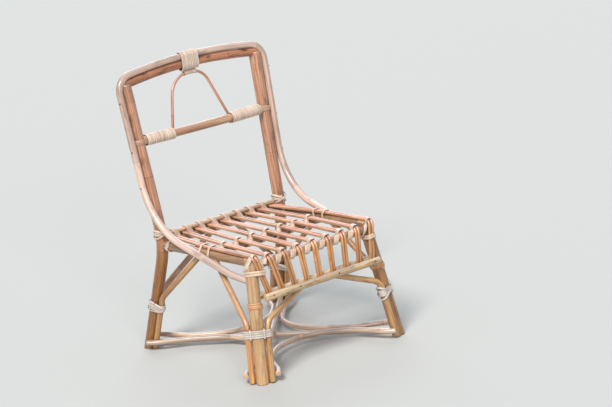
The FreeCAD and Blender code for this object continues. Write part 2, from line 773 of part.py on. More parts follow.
def post_strap(side, inner, outer, width, opening):
    """Band let into a post where the crossbar meets it, open towards the bar."""
    centre = upper_post_axis(side, CROSSBAR_Z)
    rise = unit(upper_post_axis(side, BACK_TOP) - centre)
    base = centre - rise * (width / 2)
    ring = Part.makeCylinder(outer, width, base, rise).cut(Part.makeCylinder(inner, width, base, rise))
    if opening:
        notch = Part.makeBox(outer * 2, opening, width * 2, V(0, -opening / 2, -width))
        notch.Placement = FreeCAD.Placement(centre, FreeCAD.Rotation(V(1, 0, 0), V(-side, 0, 0)))
        ring = ring.cut(notch)
    return ring


def frame_poles():
    """The uncut poles, by name."""
    poles = {}
    for name, side in SIDES.items():
        poles["leg_" + name] = front_leg(side)
        poles["post_" + name] = rear_post(side)
        poles["side_rail_" + name] = side_rail(side)
    poles["hoop"] = back_hoop()
    poles["top_rail"] = top_rail()
    poles["crossbar"] = crossbar()
    poles["arch"] = back_arch(poles["crossbar"])
    poles["front_rail"] = cross_rail(FRONT_RAIL_DIA, FRONT_RAIL_HALF, 0, FRONT_RAIL_Z)
    poles["middle_rail"] = cross_rail(MIDDLE_RAIL_DIA, POST_HALF, MIDDLE_RAIL_Y, MIDDLE_RAIL_Z)
    poles["rear_rail"] = cross_rail(REAR_RAIL_DIA, POST_HALF, SEAT_DEPTH, REAR_RAIL_Z)
    poles["cover_rod"] = rear_cover_rod(poles["post_right"])
    poles["apron_front"] = cross_rail(APRON_DIA, APRON_FRONT_HALF, APRON_Y, APRON_Z)
    poles["apron_back"] = cross_rail(APRON_DIA, FOOT_HALF, APRON_BACK_Y, APRON_Z)
    return poles


def both_seats(poles, kind):
    """Seats of the left and the right pole of a kind."""
    return [poles[kind + "_" + name].seat for name in SIDES]


def upright_parts(poles, pairs):
    """Front legs, notched for the outer rods, and rear posts, grooved for the crossbar's straps."""
    parts = {}
    straps = []
    outer_pairs = {"left": pairs[0], "right": pairs[-1]}
    groove = POST_DIA / 2 - STRAP_DEPTH
    for name, side in SIDES.items():
        leg = above_floor(poles["leg_" + name].solid)
        leg = leg.cut(above_floor(leg, RAIL_TOP + SIDE_RISE))
        parts["front_leg_" + name] = coped(leg, *[rod.seat for rod in outer_pairs[name]])
        post = above_floor(poles["post_" + name].solid)
        post = coped(post, poles["top_rail"].seat, poles["hoop"].seat)
        housing = post_strap(side, groove - SEAT, POST_DIA, STRAP_WIDTH + 2 * SEAT, 0)
        parts["rear_post_" + name] = post.cut(housing)
        straps.append(post_strap(side, groove, POST_DIA / 2, STRAP_WIDTH, STRAP_OPENING))
    parts["crossbar_straps"] = Part.makeCompound(straps)
    return parts


def back_parts(poles):
    """Hoop, top rail, crossbar and arch."""
    return {
        "back_hoop": coped(poles["hoop"].solid, *both_seats(poles, "leg")),
        "back_top_rail": coped(poles["top_rail"].solid, poles["hoop"].seat),
        "back_crossbar": coped(poles["crossbar"].solid, *both_seats(poles, "post")),
        "back_arch": coped(poles["arch"].solid, poles["crossbar"].seat),
    }


def seat_parts(poles, pairs):
    """Rails, cover rod, apron and rods."""
    legs = both_seats(poles, "leg")
    posts = both_seats(poles, "post")
    sides = both_seats(poles, "side_rail")
    parts = {}
    for name in SIDES:
        hosts = [poles["leg_" + name].seat, poles["post_" + name].seat]
        parts["seat_side_rail_" + name] = coped(poles["side_rail_" + name].solid, *hosts)
    parts["seat_front_rail"] = coped(poles["front_rail"].solid, *legs, *sides)
    parts["seat_middle_rail"] = coped(poles["middle_rail"].solid, *sides)
    parts["seat_rear_rail"] = coped(poles["rear_rail"].solid, *posts, *sides)
    parts["seat_rear_cover_rod"] = poles["cover_rod"].solid
    parts["apron_front_pole"] = poles["apron_front"].solid
    parts["apron_back_pole"] = coped(poles["apron_back"].solid, *legs)
    for index, pair in enumerate(pairs):
        parts["seat_rod_pair_%d" % (index + 1)] = Part.makeCompound([rod.solid for rod in pair])
    return parts


def lower_parts(poles):
    """Braces and stretchers."""
    parts = {}
    hosts = both_seats(poles, "side_rail") + [poles["apron_back"].seat, poles["rear_rail"].seat]
    for name, rod in braces().items():
        parts[name] = coped(above_floor(rod.solid, BRACE_FLOOR_GAP), *hosts)
    uprights = both_seats(poles, "leg") + both_seats(poles, "post")
    low = diagonal("rear_left", "front_right", STRETCHER_Z)
    high = diagonal("front_left", "rear_right", STRETCHER_Z + STRETCHER_STEP)
    parts["diagonal_stretcher_low"] = coped(low.solid, *uprights)
    parts["diagonal_stretcher_high"] = coped(high.solid, *uprights)
    parts["curved_stretcher_front"] = curved_stretcher("front_left", "front_right").solid
    parts["curved_stretcher_rear"] = curved_stretcher("rear_left", "rear_right").solid
    parts["curved_stretcher_left"] = curved_stretcher("front_left", "rear_left").solid
    parts["curved_stretcher_right"] = curved_stretcher("front_right", "rear_right").solid
    return parts


def cane_parts(poles):
    """Lashings, ties and bindings."""
    parts = {}
    inner = range(1, SLAT_PAIRS - 1)
    front = (0, FRONT_RAIL_Z, FRONT_RAIL_DIA)
    middle = (MIDDLE_RAIL_Y, MIDDLE_RAIL_Z, MIDDLE_RAIL_DIA)
    parts["front_lashing"] = seat_lashing("front lashing", *front, inner, FRONT_LASHING_CLEAR)
    parts["middle_lashing"] = seat_lashing("middle lashing", *middle, inner, LASHING_CLEAR)
    parts["rear_lashing"] = rear_lashing()
    parts["side_ties"] = side_ties()
    parts["leg_bindings"] = leg_bindings()
    parts["leg_top_bindings"] = leg_top_bindings()
    parts["leg_apron_bindings"] = leg_apron_bindings()
    parts["post_bindings"] = post_bindings(poles)
    for name, side in SIDES.items():
        title = "crossbar binding " + name
        parts["crossbar_binding_" + name] = crossbar_binding(title, side, poles["crossbar"])
    parts["top_binding"] = top_binding(poles["top_rail"], poles["hoop"])
    parts["arch_binding"] = arch_binding(poles["arch"])
    return parts


def build():
    """All the parts by name."""
    poles = frame_poles()
    pairs = [slat_pair(index) for index in range(SLAT_PAIRS)]
    parts = upright_parts(poles, pairs)
    parts.update(back_parts(poles))
    parts.update(seat_parts(poles, pairs))
    parts.update(lower_parts(poles))
    parts.update(cane_parts(poles))
    return parts


def main():
    """Build the chair, move it to its origin and write a file for each part."""
    os.makedirs("parts", exist_ok=True)
    parts = build()
    box = Part.makeCompound(list(parts.values())).optimalBoundingBox(False, False)
    print("overall", box.XLength, box.YLength, box.ZLength)
    for name, shape in parts.items():
        shape.translate(V(-box.Center.x, -box.Center.y, -box.ZMin))
        shape.exportStep("parts/" + name + ".step")
        print(name, len(shape.Solids), round(shape.Volume), shape.isValid())


main()
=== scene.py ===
"""Looks of a low rattan chair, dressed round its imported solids. Metres; the chair stands on z = 0."""
import heapq
import json
import math
import random

import bpy
import numpy as np
from mathutils import Matrix, Vector
from mathutils.kdtree import KDTree


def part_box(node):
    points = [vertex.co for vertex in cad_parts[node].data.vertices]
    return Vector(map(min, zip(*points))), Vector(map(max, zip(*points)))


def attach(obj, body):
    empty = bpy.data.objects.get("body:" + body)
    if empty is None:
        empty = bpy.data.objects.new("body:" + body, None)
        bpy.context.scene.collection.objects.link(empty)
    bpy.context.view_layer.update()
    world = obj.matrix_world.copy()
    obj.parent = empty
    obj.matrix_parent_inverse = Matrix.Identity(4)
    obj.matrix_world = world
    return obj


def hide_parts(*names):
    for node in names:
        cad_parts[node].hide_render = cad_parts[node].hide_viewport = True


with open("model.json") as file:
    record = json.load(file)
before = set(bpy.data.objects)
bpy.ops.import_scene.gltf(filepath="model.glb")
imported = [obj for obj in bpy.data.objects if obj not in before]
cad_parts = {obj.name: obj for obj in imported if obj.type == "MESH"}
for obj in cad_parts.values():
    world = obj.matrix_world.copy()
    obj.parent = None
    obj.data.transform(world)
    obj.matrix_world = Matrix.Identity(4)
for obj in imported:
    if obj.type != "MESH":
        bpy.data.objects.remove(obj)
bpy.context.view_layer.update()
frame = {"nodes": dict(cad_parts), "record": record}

MM = 0.001
TINY = 1e-12

# Diameters of the poles' solids in millimetres, by the start of the node's name
DIAMETERS = {
    "rear_post": 29.0,
    "front_leg": 31.0,
    "seat_side_rail": 23.0,
    "seat_front_rail": 20.0,
    "seat_middle_rail": 18.0,
    "seat_rear_rail": 15.0,
    "seat_rear_cover_rod": 11.0,
    "seat_rod_pair": 7.5,
    "apron": 17.0,
    "back_hoop": 17.0,
    "back_top_rail": 22.0,
    "back_crossbar": 21.0,
    "back_arch": 7.0,
    "diagonal_stretcher": 13.0,
    "curved_stretcher": 13.0,
}
BRACES = ("front_side_brace", "front_cross_brace", "rear_side_brace", "rear_cross_brace")
DIAMETERS.update(dict.fromkeys(BRACES, 14.5))
# Poles whose lower end is sawn level, and those whose upper end is
LEVEL_FOOT = ("front_leg", "rear_post", *BRACES)
LEVEL_TOP = ("front_leg",)
# Poles that run straight from end to end
STRAIGHT = ("front_leg", "seat_side", "seat_front", "seat_middle", "seat_rear", "apron", "diagonal")

# Nodes that hold more than one tube
SEVERAL = ("seat_rod_pair", "leg_", "post_", "side_ties")

# Pole surface: sampling, unevenness and the ridges at the rattan's nodes
POLE_STEP = 3.5 * MM
POLE_SIDES = 24
ROD_SIDES = 14
ROD_LIMIT = 12.0 * MM
SWAY = 0.35 * MM
SWAY_REACH = 0.09
SWAY_FADE = 0.03
UNEVEN = 0.018
UNEVEN_REACH = 0.12
OVAL = 0.012
RIDGE_WIDTH = 1.5 * MM
RIDGE_RISE = 0.032
BEVEL = 0.9 * MM
BEVEL_DEPTH = 0.6
LEVEL_REACH = 20.0 * MM

# Rattan's nodes: their spacing and, as shares of it, the first one's place, the bare end and the spread
NODE_LENGTH = 0.10
NODE_PER_RADIUS = 9
NODE_FIRST = (0.25, 0.9)
NODE_END = 0.12
NODE_SPREAD = (0.75, 1.3)

# Limits of the random tones, turns and shifts, and the seeds
TONE_START = 0.5
TONE_STEP = 0.7
OVAL_TURN = 3
GRAIN_APART = 3
GRAIN_SHIFT = 40
LINE_SEED = 1
POLE_SEED = 100
CANE_SEED = 500
CORNER_SEED = 700
STRAP_SEED = 800

# Reading a centre line: rings of points, runs that are joined on, and the search for a straight axis
RING_NEAR = 0.4 * MM
RING_LEAST = 8
KEY_STEP = 100000
JOIN_LEAST = 0.15
LINE_TRIES = 400
LINE_NEAR = 0.1 * MM
LINE_LEAST = 100 * MM

# Cane strips: sampling, unevenness, and outline across in shares of half width and thickness
CANE_STEP = 1.2 * MM
CANE_UNEVEN = 0.04
CANE_UNEVEN_REACH = 0.03
CANE_LIFT = 0.10 * MM
CANE_LIFT_REACH = 0.025
STRIP_OUTLINE = [(-1.0, -0.5), (-1.0, 0.05), (-0.78, 0.36), (-0.4, 0.5), (0.0, 0.54),
                 (0.4, 0.5), (0.78, 0.36), (1.0, 0.05), (1.0, -0.5)]
CURVE_PARTS = 12

# How a strip's bend is read: points each way, and the length that evens it out
BEND_REACH = 3
NORMAL_REACH = 7.0 * MM

# Least upright part of the axis of a binding round a leg or post
UPRIGHT = 0.7


def diameter_of(node):
    """Diameter of the pole that a node holds, in metres."""
    for start, size in DIAMETERS.items():
        if node.startswith(start):
            return size * MM
    return 0.0


def wall_points(node, radius):
    """Point on the centre line under each vertex of a node's tube walls, and the walls' triangles."""
    mesh = frame["nodes"][node].data
    places = np.empty(len(mesh.vertices) * 3, np.float32)
    mesh.vertices.foreach_get("co", places)
    corners = np.empty(len(mesh.loops), np.int32)
    mesh.loops.foreach_get("vertex_index", corners)
    facing = np.empty(len(mesh.loops) * 3, np.float32)
    mesh.corner_normals.foreach_get("vector", facing)
    normals = np.zeros((len(mesh.vertices), 3))
    normals[corners] = facing.reshape(-1, 3)
    return places.reshape(-1, 3) - normals * radius, corners.reshape(-1, 3)


def straight_line(centres):
    """Ends of the axis that the most points lie on."""
    rng = random.Random(LINE_SEED)
    best = None
    for _ in range(LINE_TRIES):
        first = centres[rng.randrange(len(centres))]
        second = centres[rng.randrange(len(centres))]
        gap = np.linalg.norm(second - first)
        if gap > LINE_LEAST:
            along = (second - first) / gap
            away = centres - first
            near = np.linalg.norm(away - np.outer(away @ along, along), axis=1) < LINE_NEAR
            if best is None or near.sum() > best.sum():
                best = near
    kept = centres[best]
    middle = kept.mean(axis=0)
    along = np.linalg.svd(kept - middle, full_matrices=False)[2][0]
    reach = (kept - middle) @ along
    return np.array([middle + along * reach.min(), middle + along * reach.max()])


def ring_links(centres, triangles):
    """Rings of a node's tubes, as their middles and the links between rings that share a triangle."""
    keys = np.round(centres / RING_NEAR).astype(np.int64)
    keys = (keys[:, 0] * KEY_STEP + keys[:, 1]) * KEY_STEP + keys[:, 2]
    _, labels, counts = np.unique(keys, return_inverse=True, return_counts=True)
    sums = np.zeros((len(counts), 3))
    np.add.at(sums, labels, centres)
    middles = sums / counts[:, None]
    tree = KDTree(len(counts))
    for number, middle in enumerate(middles):
        tree.insert(middle, number)
    tree.balance()
    merged = np.full(len(counts), -1)
    for number in np.argsort(-counts):
        if merged[number] < 0:
            for _, other, _ in tree.find_range(middles[number], RING_NEAR):
                if merged[other] < 0:
                    merged[other] = number
    totals = np.bincount(merged, counts, len(counts))
    links = {}
    for triangle in np.unique(np.sort(merged[labels][triangles], axis=1), axis=0).tolist():
        if max(totals[ring] for ring in triangle) >= RING_LEAST:
            for ring in triangle:
                links.setdefault(ring, set()).update(set(triangle) - {ring})
    return middles, links, totals >= RING_LEAST


def distances(start, middles, links):
    """Distance along the links from one ring to each that can be reached."""
    found = {}
    queue = [(0.0, start)]
    while queue:
        far, ring = heapq.heappop(queue)
        if ring not in found:
            found[ring] = far
            for other in links[ring]:
                if other not in found:
                    step = float(np.linalg.norm(middles[other] - middles[ring]))
                    heapq.heappush(queue, (far + step, other))
    return found


def pruned(order, full):
    """Full rings in order, with only the furthest of the cut rings beyond them at each end."""
    whole = [place for place, ring in enumerate(order) if full[ring]]
    kept = [order[place] for place in whole]
    if whole[0] > 0:
        kept.insert(0, order[0])
    if whole[-1] < len(order) - 1:
        kept.append(order[-1])
    return kept


def joined(paths):
    """The longest path, lengthened by the long ones that carry on from its ends."""
    paths = sorted(paths, key=lambda path: -np.linalg.norm(path[-1] - path[0]))
    whole = paths[0]
    least = JOIN_LEAST * np.linalg.norm(whole[-1] - whole[0])
    for path in paths[1:]:
        if np.linalg.norm(path[-1] - path[0]) < least:
            continue
        gaps = [np.linalg.norm(whole[end] - path[start]) for end in (0, -1) for start in (0, -1)]
        pick = int(np.argmin(gaps))
        if pick % 2 == (0 if pick < 2 else 1):
            path = path[::-1]
        whole = np.vstack([path, whole] if pick < 2 else [whole, path])
    return whole


def centre_lines(node, radius):
    """Centre lines of the tubes in a node, read from its solid's wall."""
    centres, triangles = wall_points(node, radius)
    if node.startswith(STRAIGHT):
        return [straight_line(centres)]
    middles, links, full = ring_links(centres, triangles)
    waiting = set(links)
    paths = []
    while waiting:
        reach = distances(min(waiting), middles, links)
        waiting -= set(reach)
        reach = distances(max(reach, key=reach.get), middles, links)
        path = middles[pruned(sorted(reach, key=reach.get), full)]
        if np.linalg.norm(path[-1] - path[0]) > radius:
            paths.append(path)
    return paths if node.startswith(SEVERAL) else [joined(paths)]


def pole_line(node):
    """Centre line of the pole that a node holds."""
    return centre_lines(node, diameter_of(node) / 2)[0]


def resampled(path, step):
    """Evenly spaced points along a path."""
    lengths = np.concatenate([[0.0], np.cumsum(np.linalg.norm(np.diff(path, axis=0), axis=1))])
    count = max(2, int(round(lengths[-1] / step)))
    marks = np.linspace(0.0, lengths[-1], count + 1)
    points = np.column_stack([np.interp(marks, lengths, path[:, k]) for k in range(3)])
    return points, marks


def unit_rows(rows):
    """Rows at length one."""
    return rows / np.maximum(np.linalg.norm(rows, axis=1), TINY)[:, None]


def turning_frame(points):
    """Direction along a path, and two directions across it that don't twist."""
    ahead = unit_rows(np.gradient(points, axis=0))
    seed = np.eye(3)[np.argmin(np.abs(ahead[0]))]
    side = np.empty_like(ahead)
    last = np.cross(ahead[0], seed)
    for number, direction in enumerate(ahead):
        last = last - direction * (last @ direction)
        last = last / np.linalg.norm(last)
        side[number] = last
    return ahead, side, np.cross(ahead, side)


class Shape:
    """Points, faces and surface values of one piece, gathered before its mesh is made."""

    def __init__(self):
        self.points = []
        self.faces = []
        self.slots = []
        self.grain = []
        self.ridge = []
        self.tone = []

    def add(self, points, grain, ridge, tone):
        """Add points with their surface values; the number of the first is returned."""
        first = sum(len(block) for block in self.points)
        self.points.append(points)
        self.grain.append(grain)
        self.ridge.append(np.broadcast_to(ridge, len(points)))
        self.tone.append(np.broadcast_to(tone, len(points)))
        return first

    def grid(self, first, rows, columns, closed):
        """Quads over rows of points, closed round each row or open."""
        for row in range(rows - 1):
            base = first + row * columns
            for column in range(columns if closed else columns - 1):
                after = (column + 1) % columns
                quad = (base + column, base + after, base + columns + after, base + columns + column)
                self.faces.append(quad)
                self.slots.append(0)

    def cap(self, ring, middle, flip):
        """Fan from a ring of points to its middle, in the end-grain material."""
        for here, there in zip(ring, ring[1:] + ring[:1]):
            self.faces.append((there, here, middle) if flip else (here, there, middle))
            self.slots.append(1)

    def made(self, name, materials):
        """The piece as an object that rides on the chair."""
        mesh = bpy.data.meshes.new(name)
        mesh.from_pydata(np.vstack(self.points).tolist(), [], self.faces)
        mesh.polygons.foreach_set("material_index", self.slots)
        mesh.polygons.foreach_set("use_smooth", [True] * len(self.faces))
        values = {"grain": np.vstack(self.grain), "ridge": np.concatenate(self.ridge),
                  "tone": np.concatenate(self.tone)}
        for title, value in values.items():
            vector = value.ndim == 2
            layer = mesh.attributes.new(title, "FLOAT_VECTOR" if vector else "FLOAT", "POINT")
            layer.data.foreach_set("vector" if vector else "value", value.reshape(-1))
        for material in materials:
            mesh.materials.append(material)
        mesh.update()
        piece = bpy.data.objects.new(name, mesh)
        bpy.context.scene.collection.objects.link(piece)
        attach(piece, "root")
        return piece


def smooth_noise(marks, reach, rng):
    """Gentle random line along a length, from -1 to 1."""
    count = max(3, int(marks[-1] / reach) + 3)
    knots = [rng.uniform(-1, 1) for _ in range(count)]
    where = marks / marks[-1] * (count - 3) + 1
    low = np.floor(where).astype(int)
    share = where - low
    share = share * share * (3 - 2 * share)
    knots = np.array(knots)
    return knots[low] * (1 - share) + knots[low + 1] * share


def node_places(length, radius, rng):
    """Distances of the rattan's nodes along a pole."""
    spacing = NODE_LENGTH + radius * NODE_PER_RADIUS
    places = []
    place = rng.uniform(*NODE_FIRST) * spacing
    while place < length - spacing * NODE_END:
        places.append(place)
        place += spacing * rng.uniform(*NODE_SPREAD)
    return places


def pole_nodes(marks, radius, rng):
    """Ridges at a pole's nodes, and the tone of each length between them."""
    ridge = np.zeros(len(marks))
    tone = np.full(len(marks), rng.uniform(-TONE_START, TONE_START))
    for place in node_places(marks[-1], radius, rng):
        ridge = np.maximum(ridge, np.exp(-((marks - place) / RIDGE_WIDTH) ** 2))
        tone = np.where(marks > place, rng.uniform(-TONE_STEP, TONE_STEP), tone)
    return ridge, tone


def pole_grain(marks, turn, radius, rng):
    """Places in the grain for each point of a pole: two across it and one along it."""
    shift = rng.uniform(0, GRAIN_SHIFT)
    grain = np.empty((len(marks), len(turn), 3))
    grain[..., 0] = np.cos(turn)[None] * radius + rng.uniform(0, GRAIN_APART)
    grain[..., 1] = np.sin(turn)[None] * radius
    grain[..., 2] = marks[:, None] + shift
    return grain


def set_end(path, end, inner, height):
    """Lengthen or shorten the run at a path's end until it ends at a height."""
    ahead = path[end] - path[inner]
    path[end] = path[end] + ahead * ((height - path[end][2]) / ahead[2])


def level_end(wall, points, ahead, distance):
    """Turn the rings near a pole's end until the last of them lies level."""
    share = np.clip(1 - distance / LEVEL_REACH, 0, 1)
    drop = (points[:, None, 2] - wall[..., 2]) / ahead[:, None, 2]
    return wall + ahead[:, None] * (drop * share[:, None])[..., None]


def add_end(shape, first, edge, grain, tone, inset, out, flip):
    """Bevel and sawn face on the ring of points at a pole's end."""
    sides = len(edge)
    middle = edge.mean(axis=0)
    lip = middle + (edge - middle) * inset + out
    lip = np.vstack([lip, lip.mean(axis=0)])
    inner = shape.add(lip, np.vstack([grain, grain.mean(axis=0)]), 0.0, tone)
    for column in range(sides):
        after = (column + 1) % sides
        quad = (first + column, first + after, inner + after, inner + column)
        shape.faces.append(quad[::-1] if flip else quad)
        shape.slots.append(0)
    shape.cap([inner + column for column in range(sides)], inner + sides, flip)


def add_pole(shape, path, radius, rng, foot=None, top=None):
    """One rattan pole along a path, with nodes, slight sway and bevelled ends."""
    sides = ROD_SIDES if radius * 2 < ROD_LIMIT else POLE_SIDES
    if path[0][2] > path[-1][2]:
        path = path[::-1]
    for height, end, inner in ((foot, 0, 1), (top, -1, -2)):
        if height is not None:
            set_end(path, end, inner, height)
    points, marks = resampled(path, POLE_STEP)
    ahead, side, other = turning_frame(points)
    fade = np.clip(np.minimum(marks, marks[-1] - marks) / SWAY_FADE, 0, 1)
    for direction in (side, other):
        points = points + direction * (SWAY * fade * smooth_noise(marks, SWAY_REACH, rng))[:, None]
    width = radius * (1 + UNEVEN * (smooth_noise(marks, UNEVEN_REACH, rng) - 0.5))
    ridge, tone = pole_nodes(marks, radius, rng)
    width = width * (1 + RIDGE_RISE * ridge)
    turn = np.linspace(0, 2 * math.pi, sides, endpoint=False)
    oval = 1 + OVAL * np.cos(2 * (turn + rng.uniform(0, OVAL_TURN)))
    ring = np.cos(turn)[None, :, None] * side[:, None] + np.sin(turn)[None, :, None] * other[:, None]
    wall = points[:, None] + ring * (width[:, None] * oval[None])[..., None]
    if foot is not None:
        wall = level_end(wall, points, ahead, marks)
    if top is not None:
        wall = level_end(wall, points, ahead, marks[-1] - marks)
    grain = pole_grain(marks, turn, radius, rng)
    ridges = np.repeat(ridge, sides)
    tones = np.repeat(tone, sides)
    first = shape.add(wall.reshape(-1, 3), grain.reshape(-1, 3), ridges, tones)
    shape.grid(first, len(marks), sides, True)
    inset = 1 - BEVEL / radius
    for row, sign, level in ((0, -1, foot), (len(marks) - 1, 1, top)):
        out = ahead[row] * sign * BEVEL * (BEVEL_DEPTH if level is None else 0)
        start = first + row * sides
        add_end(shape, start, wall[row], grain[row], float(tone[row]), inset, out, sign < 0)


def outward(points, sideways):
    """Direction along a cane, and away from what it is bent round with the sideways part scaled."""
    reach = BEND_REACH
    bent = np.zeros_like(points)
    bent[reach:-reach] = 2 * points[reach:-reach] - points[:-2 * reach] - points[2 * reach:]
    bent[:reach] = bent[reach]
    bent[-reach:] = bent[-reach - 1]
    span = int(3 * NORMAL_REACH / CANE_STEP)
    window = np.exp(-0.5 * (np.arange(-span, span + 1) * CANE_STEP / NORMAL_REACH) ** 2)
    padded = np.pad(bent, ((span, span), (0, 0)), mode="edge")
    smooth = np.column_stack([np.convolve(padded[:, k], window, "valid") for k in range(3)])
    smooth = smooth * (sideways, 1, 1)
    ahead = unit_rows(np.gradient(points, axis=0))
    smooth = smooth - ahead * np.sum(smooth * ahead, axis=1)[:, None]
    return ahead, unit_rows(smooth)


def add_strip(shape, path, width, thick, sink, rng, sideways=1.0):
    """Flat split cane, rounded on its outer face, along a path and pushed in towards its host."""
    points, marks = resampled(path, CANE_STEP)
    ahead, out = outward(points, sideways)
    across = np.cross(ahead, out)
    points = points - out * sink
    half = width / 2 * (1 + CANE_UNEVEN * smooth_noise(marks, CANE_UNEVEN_REACH, rng))
    lift = CANE_LIFT * smooth_noise(marks, CANE_LIFT_REACH, rng)
    columns = len(STRIP_OUTLINE)
    rows = len(marks)
    wall = np.empty((rows, columns, 3))
    grain = np.empty((rows, columns, 3))
    shift = rng.uniform(0, GRAIN_SHIFT)
    for column, (place, height) in enumerate(STRIP_OUTLINE):
        wall[:, column] = points + across * (half * place)[:, None]
        wall[:, column] += out * (thick * height + lift)[:, None]
        grain[:, column, 0] = place * width / 2
        grain[:, column, 1] = height * thick
        grain[:, column, 2] = marks + shift
    tone = rng.uniform(-TONE_START, TONE_START)
    first = shape.add(wall.reshape(-1, 3), grain.reshape(-1, 3), 0.0, tone)
    shape.grid(first, rows, columns, True)
    for row, flip in ((0, True), (rows - 1, False)):
        ring = [first + row * columns + column for column in range(columns)]
        middle = shape.add(wall[row].mean(axis=0)[None], grain[row].mean(axis=0)[None], 0.0, 0.0)
        shape.cap(ring, middle, flip)


# Painted light: the side lit by a painted highlight, how much of it is mixed in and how much it
# lightens, and the painted shade of what faces away
LIT_SIDE = (-0.10, -0.20, 0.97)
HIGHLIGHT_SHARE = 0.8
HIGHLIGHT_LIFT = 1.14
UNDER_SHADE = 0.72
# Stops of the painted highlight, and of the painted shade on what faces away
HIGHLIGHT_STOPS = [(0.68, 0.0), (0.97, HIGHLIGHT_SHARE)]
PAINTED_SHADE_STOPS = [(0.08, UNDER_SHADE), (0.45, 1.0)]

# Rattan: noise as scales across and along the grain, detail and roughness, and the stops of its ramps
RATTAN_FIBRE = ((1500, 1500, 26), 4.0, 0.6)
RATTAN_STREAK = ((330, 330, 7), 3.0, 0.55)
RATTAN_STAIN = ((75, 75, 22), 4.0, 0.6)
RATTAN_DRIFT = ((20, 20, 5), 2.0, 0.5)
STREAK_SHARE = 0.55
RATTAN_STOPS = (0.34, 0.5, 0.66)
TONE_SHARE = 0.32
SHADE_SHARE = 0.85
SHADE_STOPS = [(0.25, 0.66), (0.5, 0.92), (0.75, 1.12)]
SPOT_STOPS = (0.53, 0.69)
SPOT_DARK = 0.45
NODE_STOPS = [(0.45, 0.0), (0.95, 0.62)]
NODE_DARK = 0.5
ROUGH_STOPS = (0.3, 0.7)
ROUGH_SPREAD = (-0.06, 0.14)
RATTAN_COAT = (0.8, 0.24)
RATTAN_BUMP = (0.32, 0.5 * MM)

# A pole's darker foot, partly painted shade below the seat: heights between which it fades out, and how
# far the stains break its edge
FOOT_STOPS = [(0.26, 1.0), (0.36, 0.0)]
FOOT_RAGGED = 0.08

# Sawn ends: size of the pores, their stops, and the drift of the pith
PORE_SCALE = 900.0
PORE_STOPS = [(0.12, 1.0), (0.34, 0.0)]
PITH_DRIFT = ((260, 260, 40), 3.0, 0.55)
PITH_STOPS = (0.3, 0.7)
PITH_DARK = 0.8
SAWN_ROUGH = [(0.3, 0.7), (0.7, 0.9)]
SAWN_BUMP = (0.3, 0.3 * MM)

# Split cane, in the same way as rattan, with its darker edges
CANE_LINES = ((1900, 500, 22), 3.0, 0.6)
CANE_STREAK = ((420, 200, 9), 2.0, 0.5)
CANE_STAIN = ((120, 120, 45), 3.0, 0.6)
CANE_STREAK_SHARE = 0.5
CANE_STOPS = (0.33, 0.48, 0.66)
CANE_TONE_SHARE = 0.14
CANE_SHADE_SHARE = 0.8
CANE_SHADE_STOPS = [(0.3, 0.78), (0.55, 1.0)]
EDGE_SCALE = -900.0
EDGE_STOPS = [(0.0, 0.0), (0.6, 0.75)]
EDGE_DARK = 0.4
CANE_ROUGH = [(0.3, 0.30), (0.7, 0.46)]
CANE_COAT = (0.4, 0.25)
CANE_BUMP = (0.35, 0.25 * MM)

# Iron of the nail heads
RUST = ((900, 900, 900), 3.0, 0.6)
RUST_STOPS = (0.4, 0.65)
IRON_ROUGH = [(0.3, 0.4), (0.7, 0.7)]
IRON_METAL = 0.6
IRON_BUMP = (0.3, 0.2 * MM)

# Sockets of a Mix node for colours: share, first and second colour, and the result
MIX_INPUTS = (0, 6, 7)
MIX_RESULT = 2


